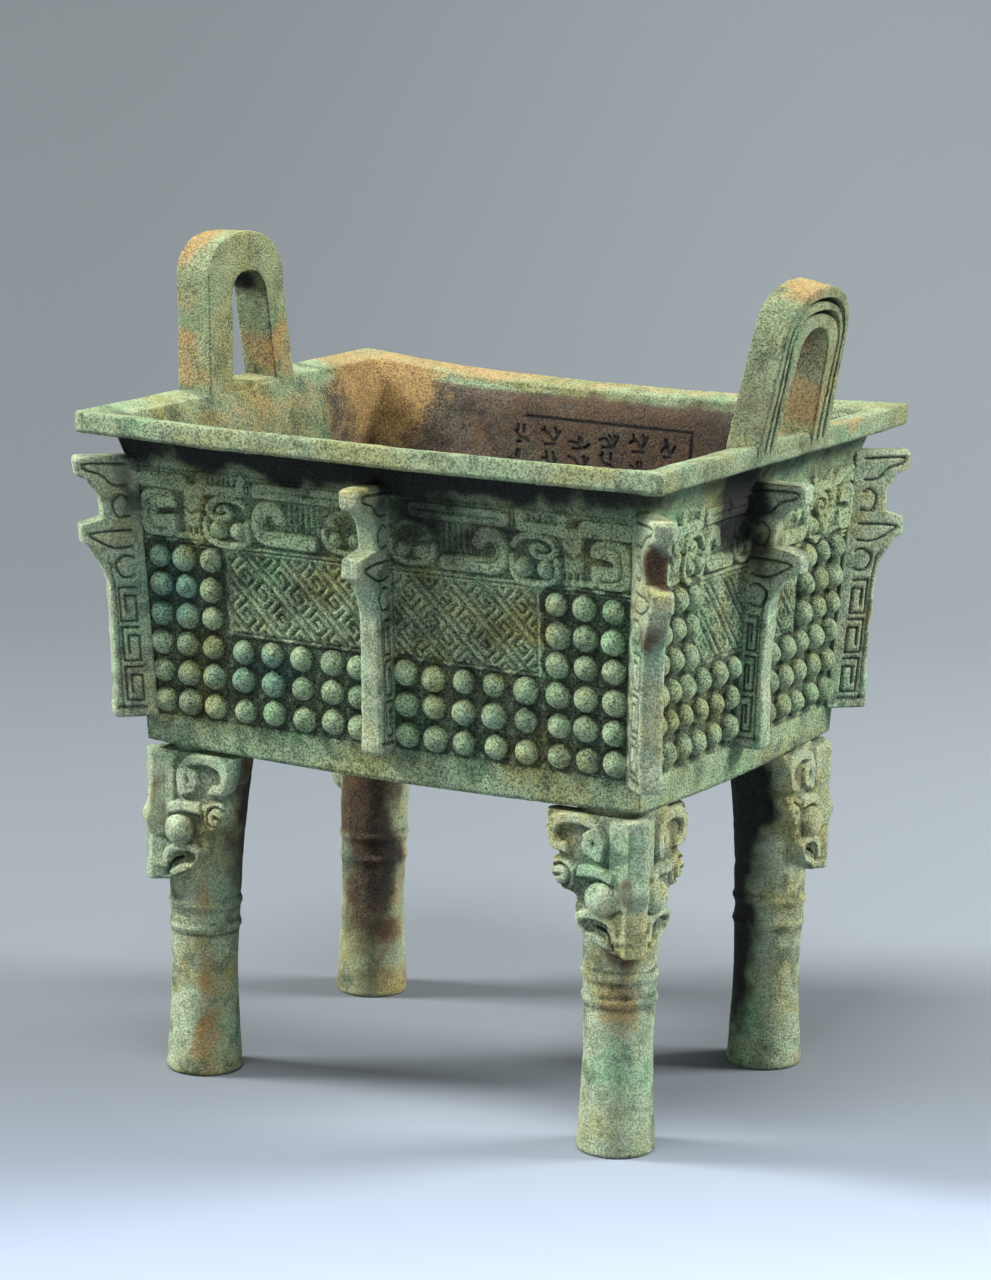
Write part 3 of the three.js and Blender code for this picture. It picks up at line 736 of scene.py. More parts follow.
# Flanges: a loft up the height, with lines cut in both side faces
flangePlan = {
    "thickness": 7.8,
    "footZ": 123.0,
    "topZ": 210.2,
    "centre": {"shaft": 8.6, "hook": 18.4},
    "corner": {"shaft": 10.8, "hook": 17.8},
    "edgeRound": 1.5,
    "lineDepth": 0.8,
    "bury": 2.5,
    "step": 0.7,
    "hookStep": 0.45,
    "hooks": ((177, 190), (200, 210.2)),
    "sideSteps": 25,
}


def flangeReach(z, plan):
    shaft = plan["shaft"]
    hook = plan["hook"]
    zs = [123.0, 124.0, 150.0, 168.0, 174.0, 178.0, 180.6, 181.6, 186.6, 187.6, 188.4, 189.5, 197.0, 200.6,
          202.0, 203.0, 204.2, 208.6, 209.8, 210.4]
    outs = [shaft * 1.06, shaft * 1.1, shaft * 0.94, shaft * 0.96, shaft * 1.1, shaft * 1.32, hook * 0.86,
            hook, hook, hook * 0.98, hook * 0.8, shaft, shaft * 1.02, shaft * 1.25, hook * 0.74, hook * 0.94,
            hook, hook, hook - 0.7, hook - 2.0]
    return np.interp(z, zs, outs)


def flangeMarks(plan):
    shaft = plan["shaft"]
    inset = shaft - 1.9
    marks = [
        ("groove", [(1.2, 126.2), (shaft - 0.4, 126.2)], 0.8, 1.0),
        ("groove", [(inset, 126.2), (inset - 0.6, 150), (inset - 0.5, 168), (inset + 0.4, 175)], 0.7, 0.8),
    ]
    left = 1.6
    right = inset - 1.7
    meander = [(left, 11.4), (right, 11.4), (right, 0), (left + 0.2, 0), (left + 0.2, 8.6),
               (right - 1.9, 8.6), (right - 1.9, 3)]
    for foot in (128.4, 141.8, 155.2):
        marks.append(("groove", [(u, foot + z) for u, z in meander], 0.8, 1.0))
    curls = [
        ([(1.4, 170.4), (5.4, 170.0), (7.4, 174.0), (4.4, 177.0), (1.4, 176.4)], 1.0),
        ([(1.4, 180.2), (7.0, 179.6), (12.6, 182.2), (14.6, 184.6), (1.4, 185.6)], 0.9),
        ([(1.6, 190.4), (5.4, 190.0), (6.6, 194.6), (4.0, 197.2), (1.6, 196.2)], 0.9),
        ([(1.6, 200.4), (6.2, 200.6), (9.8, 204.0), (14.8, 205.6), (14.6, 207.6), (1.6, 207.4)], 0.9),
    ]
    return marks + [("groove", rounded(curl), 0.8, depth) for curl, depth in curls]


# A flange stands at the middle of a side or at a corner, and points along outX, outY
def makeFlange(name, plan, outX, outY, seed, material):
    topZ = flangePlan["topZ"]
    heights = [np.arange(flangePlan["footZ"], topZ, flangePlan["step"])]
    heights += [np.arange(low, high, flangePlan["hookStep"]) for low, high in flangePlan["hooks"]]
    zs = np.unique(np.round(np.concatenate(heights), 2))
    half = flangePlan["thickness"] / 2
    bend = flangePlan["edgeRound"]
    arc = np.linspace(0, math.pi / 2, 4)
    rows = []
    for z in zs:
        reach = float(flangeReach(z, plan))
        reach += 0.25 * math.sin(z * 0.21 + seed) + 0.15 * math.sin(z * 0.53 + seed * 2)
        ends = float(smoothstep(topZ + 0.2, topZ - 1.4, z))
        thick = (half - 0.9 * (1 - ends)) * (1 - 0.05 * float(smoothstep(150, 200, z)))
        side = together(np.linspace(-flangePlan["bury"], reach - bend, flangePlan["sideSteps"]), thick)
        nose = together(reach - bend + bend * np.sin(arc), thick - bend + bend * np.cos(arc))[1:]
        middle = np.array([[reach, thick * 0.3], [reach, -thick * 0.3]])
        ring = np.concatenate([side, nose, middle, nose[::-1] * [1, -1], side[::-1] * [1, -1]])
        rows.append(together(*ring.T, z))
    grid = np.stack(rows)
    onSide = (np.abs(grid[..., 1]) > half * 0.8) & (grid[..., 0] > 0.4)
    marks = drawMarks(grid[..., 0], grid[..., 2], flangeMarks(plan))
    cut = np.where(onSide, marks * flangePlan["lineDepth"], 0)
    grid[..., 1] += np.sign(grid[..., 1]) * (cut + wornHeight(grid + seed * 17, "flange"))
    # Cut lines get low openness: dirt and painted shade in the grooves
    openness = 0.53 + 0.42 * cut
    out, across, z = grid.reshape(-1, 3).T
    halfX, halfY = wallHalf(z)
    angle = math.atan2(outY, outX)
    c = math.cos(angle)
    s = math.sin(angle)
    points = together(outX * halfX + out * c - across * s, outY * halfY + out * s + across * c, z)
    return addPiece(name, points, loftFaces(*grid.shape[:2]), openness.reshape(-1), material)


# Ears: a flat band carried round an arch, with two grooves in the outer face
earPlan = {
    "arch": {"foot": 26.4, "head": 23.0, "spring": 36.0, "top": 53.4},
    "hole": {"foot": 13.9, "head": 10.8, "spring": 28.0, "top": 39.7},
    "sill": 2.0,
    "thickness": {"right": 12.0, "left": 13.4},
    "holeShift": {"right": 0.0, "left": 1.5},
    "squareness": 0.84,
    "grooves": [(3.7, 1.5), (7.9, 1.5)],
    "grooveDepth": 2.4,
    "lean": {"right": 11.5, "left": 0.5},
    "sway": {"right": -0.04, "left": -0.12},
    "shift": -1.1,
    "edgeRound": 0.75,
    "bury": -2.6,
    "stations": 150,
    "steps": {"outer": 44, "inner": 26, "edge": 18},
    "openness": 0.75,
}


def archLine(arch, base, steps):
    rise = np.linspace(base, arch["spring"], int((arch["spring"] - base) / 1.2))[:-1]
    half = arch["foot"] + (arch["head"] - arch["foot"]) * (rise + 3) / (arch["spring"] + 3)
    angle = np.linspace(0, math.pi, steps)
    power = earPlan["squareness"]
    cosine = np.cos(angle)
    sine = np.clip(np.sin(angle), 0, 1)
    bend = np.stack([arch["head"] * np.sign(cosine) * np.abs(cosine) ** power,
                     arch["spring"] + (arch["top"] - arch["spring"]) * sine ** power], axis=-1)
    right = np.stack([half, rise], axis=-1)
    return np.concatenate([right, bend, right[::-1] * [-1, 1]])


def resampled(line, count):
    step = np.hypot(*np.diff(line, axis=0).T)
    place = np.concatenate([[0], np.cumsum(step)])
    wanted = np.linspace(0, place[-1], count)
    return np.stack([np.interp(wanted, place, line[:, axis]) for axis in (0, 1)], axis=-1)


def makeEar(name, side, which, seed, material):
    hole = earPlan["hole"]
    thick = earPlan["thickness"][which]
    bend = earPlan["edgeRound"]
    count = earPlan["stations"]
    steps = earPlan["steps"]
    plain = earPlan["openness"]
    outer = resampled(archLine(earPlan["arch"], earPlan["bury"], 80), count)
    inner = resampled(archLine(hole, earPlan["bury"], 70), count) + [side * earPlan["holeShift"][which], 0]
    widths = np.hypot(*(outer - inner).T)
    arc = np.linspace(0, math.pi / 2, 4)
    sine = bend * np.sin(arc)
    cosine = bend * np.cos(arc)
    between = np.linspace(thick - bend - 0.5, bend + 0.5, steps["edge"])
    rows = []
    openRows = []
    for outside, hollow, width in zip(outer, inner, widths):
        into = np.linspace(bend, width - bend, steps["outer"])
        cut = np.zeros(steps["outer"])
        if outside[1] > earPlan["sill"]:
            for inset, wide in earPlan["grooves"]:
                off = np.abs(into - inset - wide / 2)
                cut = np.maximum(cut, smoothstep(wide / 2 + grooveEdge, wide / 2 - grooveEdge, off))
        section = np.concatenate([
            together(into, thick - earPlan["grooveDepth"] * cut),
            together(width - bend + sine, thick - bend + cosine)[1:],
            together(width, between),
            together(width - bend + cosine, bend - sine),
            together(np.linspace(width - bend - 0.5, bend + 0.5, steps["inner"]), 0),
            together(bend - sine, bend - cosine),
            together(0, between[::-1]),
            together(bend - cosine, thick - bend + sine)[:-1],
        ])
        share = (section[:, 0] / width)[:, None]
        place = outside * (1 - share) + hollow * share
        rows.append(together(section[:, 1], *place.T))
        # Grooves get low openness: dirt and painted shade in them
        openRows.append(np.concatenate([plain - 0.6 * cut, np.full(len(section) - len(cut), plain)]))
    grid = np.stack(rows)
    worn = wornHeight(grid + seed, "ear")
    away = grid - grid.mean(axis=1, keepdims=True)
    away = away / np.maximum(np.linalg.norm(away, axis=-1, keepdims=True), 1e-6)
    grid = grid + away * worn[..., None] - away * 0.15
    openness = np.stack(openRows) + 0.5 * np.clip(worn, -0.3, 0.3)
    polygons = loftFaces(*grid.shape[:2])
    points = grid.reshape(-1, 3)

    # The low sill that closes the foot of the loop
    top = earPlan["sill"] + 0.1
    slope = [(0.4, -2.4), (0.4, top - 1), (1.4, top)]
    profile = slope + [(thick - x, z) for x, z in slope[::-1]]
    across = np.linspace(-hole["foot"] - 1.5, hole["foot"] + 1.5, 12)
    sill = np.array([(x, y, z) for y in across for x, z in profile])
    polygons += loftFaces(len(across), len(profile), start=len(points))
    openness = np.concatenate([openness.reshape(-1), np.full(len(sill), 0.6)])
    points = np.concatenate([points, sill]) * [side, side, 1]
    points[:, 1] += earPlan["shift"] + earPlan["sway"][which] * points[:, 2]
    tilt = Matrix.Rotation(math.radians(side * earPlan["lean"][which]), 3, "Y")
    points = points @ np.array(tilt).T + np.array([side * mouthHalf[0], 0, body["rimTopZ"] - rim["dish"]])
    return addPiece(name, points, polygons, openness, material)


# Legs: round, waisted, with two thin rings
legPlan = {
    "foot": 12.8,
    "waist": 11.1,
    "knee": 12.1,
    "shoulder": 14.6,
    "shoulderShift": 1.6,
    "inset": (12.3, 14.6),
    "rings": [50.5, 58.5],
    "ringProud": 0.75,
    "sides": 56,
}


def legRadius(z):
    foot, waist, knee, shoulder = [legPlan[label] for label in ("foot", "waist", "knee", "shoulder")]
    waistZ = body["bottomZ"] * 0.33
    kneeZ = body["bottomZ"] * 0.6
    low = foot + (waist - foot) * np.sin(np.clip(z / waistZ, 0, 1) * math.pi / 2)
    middle = waist + (knee - waist) * np.clip((z - waistZ) / (kneeZ - waistZ), 0, 1)
    rise = np.clip((z - kneeZ) / (body["bottomZ"] - kneeZ), 0, 1)
    radius = np.where(z < waistZ, low, middle) + (shoulder - knee) * rise ** 2
    for ringZ in legPlan["rings"]:
        radius = radius + legPlan["ringProud"] * np.exp(-((z - ringZ) / 1.15) ** 2)
    return radius - 0.9 * np.clip(1 - z / 0.9, 0, 1) ** 2


def makeLeg(name, cornerX, cornerY, seed, material):
    zs = np.concatenate([[0.0, 0.3, 0.9], np.arange(1.8, 116.5, 0.95)])
    angle = np.linspace(0, 2 * math.pi, legPlan["sides"], endpoint=False)
    t, z = np.meshgrid(angle, zs)
    bottomX, bottomY = wallHalf(body["bottomZ"])
    shift = legPlan["shoulderShift"] * np.clip(z / body["bottomZ"] - 0.6, 0, 1) / 0.4
    radius = legRadius(z)
    plain = together(radius * np.cos(t), radius * np.sin(t), z + seed * 40)
    worn = (wornHeight(plain, "leg") - pitDepth(plain, "leg")) * smoothstep(0, 2.5, z)
    reach = radius + worn * (1 - 0.5 * smoothstep(0.1, 0.5, lumps(plain, 9, 111)))
    x = cornerX * (bottomX - legPlan["inset"][0] - shift) + reach * np.cos(t)
    y = cornerY * (bottomY - legPlan["inset"][1] - shift) + reach * np.sin(t)
    openness = 0.62 + 0.4 * worn
    # Openness follows the worn bumps, and drops beside each ring: dirt and painted shade in the creases
    for ringZ in legPlan["rings"]:
        openness = openness - 0.25 * np.exp(-((np.abs(z - ringZ) - 2.0) / 0.8) ** 2)
    points = together(x, y, z).reshape(-1, 3)
    return addPiece(name, points, loftFaces(*z.shape), openness.reshape(-1), material)


# Masks: a bracket of two plates round the outer corner of a leg, with the nose along the corner
maskPlan = {
    "topZ": 112.0,
    "footZ": 67.5,
    "thickness": 6.0,
    "nose": 7.6,
    "noseReach": 0.4,
    "spur": 1.6,
    "spurZ": 88.2,
    "proud": 0.3,
    "step": 0.45,
    "faceSteps": 66,
    "relief": 1.35,
    "wear": 0.7,
}


def maskReach(z):
    zs = [67.5, 69.0, 71.0, 73.5, 76.0, 79.0, 82.5, 84.6, 85.6, 86.6, 88.0, 90.5, 93.5, 96.2, 97.6, 98.2,
          98.9, 99.8, 102.0, 105.0, 108.5, 111.0, 112.0]
    outs = [8.0, 12.5, 15.4, 18.6, 21.0, 22.0, 22.2, 21.6, 22.6, 25.4, 28.2, 29.9, 30.6, 30.0, 28.6, 28.2,
            29.4, 30.6, 31.8, 32.5, 33.0, 33.0, 32.6]
    return np.interp(z, zs, outs)


maskMarks = [
    ("panel", (4.8, 68.0, 9.8, 110.6), 0.8, 0.55),
    ("groove", [(10.5, 111.0), (10.5, 95.2)], 0.9, 1.1),
    ("ridge", rounded([(13.6, 98.8), (13.2, 104.0), (16.0, 108.6), (22.0, 110.0), (28.4, 108.6),
                       (30.4, 104.4), (28.6, 100.6), (25.6, 99.8)]), 3.8, 1.2),
    ("ridge", rounded([(13.6, 99.4), (17.0, 100.4), (17.8, 103.6), (16.0, 105.4)]), 3.6, 1.0),
    ("groove", rounded([(20.8, 104.0), (22.4, 103.6), (23.0, 101.6), (21.4, 100.2)]), 3.4, 2.3),
    ("groove", rounded([(16.4, 107.2), (22.0, 108.2), (27.0, 106.6)]), 0.7, 0.7),
    ("groove", rounded([(11.2, 96.0), (17.0, 96.0), (22.6, 97.4), (30.8, 98.6)]), 1.4, 1.9),
    ("disc", (26.6, 91.2), 5.4, 1.5),
    ("groove", rounded([(29.6, 93.4), (26.6, 94.8), (23.4, 92.4), (24.0, 88.6), (27.4, 88.0),
                        (28.4, 90.6), (26.4, 91.4)]), 0.9, 1.1),
    ("ridge", rounded([(9.4, 92.2), (13.0, 93.6), (20.4, 93.4)]), 3.6, 1.3),
    ("groove", rounded([(8.6, 89.4), (12.0, 90.6), (18.6, 90.2)]), 1.3, 1.7),
    ("groove", rounded([(20.8, 95.0), (21.4, 90.0), (20.2, 84.0), (22.6, 82.0)]), 1.1, 1.3),
    ("disc", (12.2, 85.2), 5.6, 3.0),
    ("groove", rounded([(5.8, 82.0), (9.0, 80.2), (14.0, 79.8), (18.4, 81.4)]), 0.9, 1.1),
    ("ridge", rounded([(6.6, 72.6), (8.0, 77.6), (13.0, 79.6), (18.6, 79.2), (20.6, 76.6),
                       (18.8, 73.8)]), 2.6, 1.3),
    ("groove", rounded([(12.0, 75.2), (14.6, 77.6), (18.4, 77.0)]), 1.5, 1.8),
    ("ridge", rounded([(9.6, 70.4), (13.6, 72.4), (17.4, 73.0)]), 2.4, 1.0),
    ("groove", rounded([(7.4, 69.6), (9.6, 74.4), (13.4, 76.0)]), 0.8, 1.0),
]


def makeMask(name, cornerX, cornerY, seed, material):
    zs = np.arange(maskPlan["footZ"], maskPlan["topZ"] + 0.01, maskPlan["step"])
    thick = maskPlan["thickness"]
    halfNose = maskPlan["nose"] / 2
    diagonal = 1 / math.sqrt(2)
    faceSteps = maskPlan["faceSteps"]
    rows = []
    for z in zs:
        reach = float(maskReach(z))
        spur = maskPlan["spur"] * math.exp(-((z - maskPlan["spurZ"]) / 3.2) ** 2)
        tip = -(maskPlan["noseReach"] + spur)
        # One plate as distance along and depth into the leg, from the inside of the bracket outwards
        edge = [(thick, thick), (reach - 1.6, thick), (reach - 0.4, thick - 1.2), (reach, thick - 2.6),
                (reach, 1.8), (reach - 0.4, 0.6)]
        plate = edge + [(u, 0.0) for u in np.linspace(reach - 1.2, halfNose * math.sqrt(2) + 0.3, faceSteps)]
        # Half the nose as distance across the diagonal, and along it towards the leg
        nose = [(halfNose, 0.8 + tip), (halfNose - 0.7, tip), (halfNose * 0.35, tip), (0.0, tip)]
        plate += [((across + deep) * diagonal, (deep - across) * diagonal) for across, deep in nose]
        first = np.array(plate)
        ring = np.concatenate([first, first[:-1][::-1, ::-1][:-1]])
        topRound = float(smoothstep(maskPlan["topZ"] + 0.1, maskPlan["topZ"] - 1.2, z))
        rows.append(together(*(ring + 0.7 * (1 - topRound) * (ring < 3)).T, z))
    grid = np.stack(rows)
    count = grid.shape[1]
    firstFace = slice(len(edge), len(edge) + faceSteps)
    secondFace = slice(count - len(edge) - faceSteps + 1, count - len(edge) + 1)
    openness = np.full(grid.shape[:2], 0.7)
    for part, axis in ((firstFace, 0), (secondFace, 1)):
        u = grid[:, part, axis]
        z = grid[:, part, 2]
        raised = drawMarks(u, z, maskMarks) * maskPlan["relief"] * smoothstep(0, 1.0, maskReach(z) - u)
        grid[:, part, 1 - axis] -= raised
        # Raised relief high, hollows low: wear with a painted highlight on the relief, dirt and painted
        # shade in its hollows
        openness[:, part] = 0.35 + 0.31 * np.clip(raised, -1.4, 1.4)
    worn = wornHeight(grid + np.array([cornerX * 60, cornerY * 60, 0]) + seed, "mask")
    grid[..., :2] -= worn[..., None] * maskPlan["wear"]
    bottomX, bottomY = wallHalf(body["bottomZ"])
    x = cornerX * (bottomX + maskPlan["proud"] - grid[..., 0])
    y = cornerY * (bottomY + maskPlan["proud"] - grid[..., 1])
    points = together(x, y, grid[..., 2]).reshape(-1, 3)
    return addPiece(name, points, loftFaces(*grid.shape[:2]), openness.reshape(-1), material)


# Gives a node's inputs their values, or joins them to other nodes' outputs
def setInputs(tree, node, inputs):
    for label, value in inputs.items():
        if isinstance(value, bpy.types.NodeSocket):
            tree.links.new(value, node.inputs[label])
        else:
            node.inputs[label].default_value = (*value, 1) if isinstance(value, tuple) else value


def addNode(tree, kind, inputs, **settings):
    node = tree.nodes.new(kind)
    for label, value in settings.items():
        setattr(node, label, value)
    setInputs(tree, node, inputs)
    return node


# Bosses: one dome, placed by a node tree on every point of a face
def bossTree():
    tree = bpy.data.node_groups.new("placeBosses", "GeometryNodeTree")
    sockets = {"Geometry": "Geometry", "Radius": "Float", "Height Share": "Float", "Size Spread": "Float",
               "Segments": "Int", "Rings": "Int", "Seed": "Int", "Out": "Vector", "Finish": "Material"}
    for label, kind in sockets.items():
        tree.interface.new_socket(label, in_out="INPUT", socket_type="NodeSocket" + kind)
    tree.interface.new_socket("Geometry", in_out="OUTPUT", socket_type="NodeSocketGeometry")
    given = tree.nodes.new("NodeGroupInput").outputs
    domeInputs = {label: given[label] for label in ("Segments", "Rings", "Radius")}
    dome = addNode(tree, "GeometryNodeMeshUVSphere", domeInputs)
    squash = addNode(tree, "ShaderNodeCombineXYZ", {"X": 1, "Y": 1, "Z": given["Height Share"]})
    flatInputs = {"Geometry": dome.outputs["Mesh"], "Scale": squash.outputs["Vector"]}
    flat = addNode(tree, "GeometryNodeTransform", flatInputs)
    toward = addNode(tree, "FunctionNodeAlignRotationToVector", {"Vector": given["Out"]})
    lowest = addNode(tree, "ShaderNodeMath", {0: 1, 1: given["Size Spread"]}, operation="SUBTRACT")
    spreadInputs = {2: lowest.outputs["Value"], 3: bosses["largest"], "Seed": given["Seed"]}
    spread = addNode(tree, "FunctionNodeRandomValue", spreadInputs, data_type="FLOAT")
    placeInputs = {"Points": given["Geometry"], "Instance": flat.outputs["Geometry"],
                   "Rotation": toward.outputs["Rotation"], "Scale": spread.outputs[1]}
    place = addNode(tree, "GeometryNodeInstanceOnPoints", placeInputs)
    real = addNode(tree, "GeometryNodeRealizeInstances", {"Geometry": place.outputs["Instances"]})
    finishInputs = {"Geometry": real.outputs["Geometry"], "Material": given["Finish"]}
    finish = addNode(tree, "GeometryNodeSetMaterial", finishInputs)
    addNode(tree, "NodeGroupOutput", {"Geometry": finish.outputs["Geometry"]})
    return tree


def wallOut(face, z):
    return wallHalf(z)[1 if face["long"] else 0]


def makeBosses(face, tree, material):
    seed = bosses["seed"] + face["turn"]
    places = np.array(bossPlaces(face))
    spots = places + np.random.default_rng(seed).normal(0, bosses["jitter"], places.shape)
    lean = body["widthTaper"] if face["long"] else body["lengthTaper"]
    slope = lean / (body["widestZ"] - body["bottomZ"])
    points = turned(together(spots[:, 0], -wallOut(face, spots[:, 1]), spots[:, 1]), face["turn"])
    normal = turned(np.array([[0, -1, -slope]]), face["turn"])[0]
    normal = normal / np.linalg.norm(normal)
    seedMesh = bpy.data.meshes.new("bossPoints")
    seedMesh.from_pydata((points * 0.001).tolist(), [], [])
    carrier = bpy.data.objects.new("bossPoints", seedMesh)
    bpy.context.scene.collection.objects.link(carrier)
    modifier = carrier.modifiers.new("placeBosses", "NODES")
    modifier.node_group = tree
    wanted = {"Radius": bosses["radius"] * 0.001, "Height Share": bosses["height"] / bosses["radius"],
              "Size Spread": bosses["sizeSpread"], "Segments": bosses["segments"], "Rings": bosses["rings"],
              "Seed": seed, "Out": normal.tolist(), "Finish": material}
    for item in tree.interface.items_tree:
        if item.name in wanted:
            modifier[item.identifier] = wanted[item.name]
    graph = bpy.context.evaluated_depsgraph_get()
    placed = bpy.data.meshes.new_from_object(carrier.evaluated_get(graph))
    bpy.data.objects.remove(carrier)
    flat = np.zeros(len(placed.vertices) * 3)
    placed.vertices.foreach_get("co", flat)
    points = flat.reshape(-1, 3) * 1000
    polygons = [list(polygon.vertices) for polygon in placed.polygons]
    bpy.data.meshes.remove(placed)
    above = -turned(points, -face["turn"])[:, 1] - wallOut(face, points[:, 2])
    worn = 0.34 * roughLumps(points, 3.6, 131, 2) + 0.16 * roughLumps(points, 1.4, 134, 1)
    points = points + normal * (worn * smoothstep(0.3, 2.0, above))[:, None]
    # Low at the foot and high at the top of each boss: dirt and painted shade at the foot, wear and a
    # painted highlight at the top
    openness = 0.27 + 0.50 * smoothstep(0.2, 3.0, above) + 0.5 * worn
    return addPiece("bosses" + face["name"][4:], points, polygons, openness, material)


# Bronze finishes: each palette is one patina, read from the piece's own attributes and place
finishes = {
    "wallPatina": {"deep": (0.007, 0.010, 0.006), "base": (0.160, 0.240, 0.120), "pale": (0.62, 0.78, 0.45),
                   "speck": (0.26, 0.06, 0.035), "roughness": 0.75, "pits": 0.5, "grain": 1.0},
    "rimPatina": {"deep": (0.012, 0.016, 0.009), "base": (0.165, 0.225, 0.115), "pale": (0.54, 0.66, 0.38),
                  "speck": (0.15, 0.06, 0.04), "roughness": 0.75, "pits": 0.4, "grain": 1.0},
    "legPatina": {"deep": (0.020, 0.028, 0.016), "base": (0.300, 0.400, 0.225), "pale": (0.74, 0.84, 0.56),
                  "speck": (0.24, 0.09, 0.05), "roughness": 0.75, "pits": 0.24, "grain": 0.95},
    "earPatina": {"deep": (0.016, 0.021, 0.011), "base": (0.185, 0.240, 0.120), "pale": (0.50, 0.57, 0.31),
                  "speck": (0.17, 0.08, 0.045), "roughness": 0.75, "pits": 0.42, "grain": 1.0},
    "insidePatina": {"deep": (0.010, 0.009, 0.008), "base": (0.075, 0.056, 0.037),
                     "pale": (0.26, 0.205, 0.14), "speck": (0.035, 0.025, 0.018),
                     "roughness": 0.85, "pits": 0.4, "grain": 0.8},
}
stains = {
    "teal": {"dark": (0.045, 0.135, 0.085), "light": (0.27, 0.54, 0.38)},
    "ochre": {"dark": (0.31, 0.180, 0.058), "light": (0.62, 0.42, 0.16)},
    "brown": {"dark": (0.032, 0.019, 0.011), "light": (0.18, 0.105, 0.050)},
    "sootAndShade": {"dark": (0.004, 0.0045, 0.004), "light": (0.036, 0.038, 0.028)},
}
tints = {"warm": (1.0, 0.82, 0.55), "cool": (0.73, 0.98, 0.88), "dark": (0.47, 0.50, 0.50)}
noises = {                           # scale, detail and roughness
    "wide": (38, 4, 0.6),
    "patchy": (85, 5, 0.66),
    "blotch": (150, 4, 0.62),
    "grain": (1400, 3, 0.75),
    "fine": (2600, 2, 0.6),
}
patina = {"speckScale": 210, "speckStrength": 0.8, "dirtAndShade": 0.94, "fraying": 0.9, "bumpHeight": 0.0022}


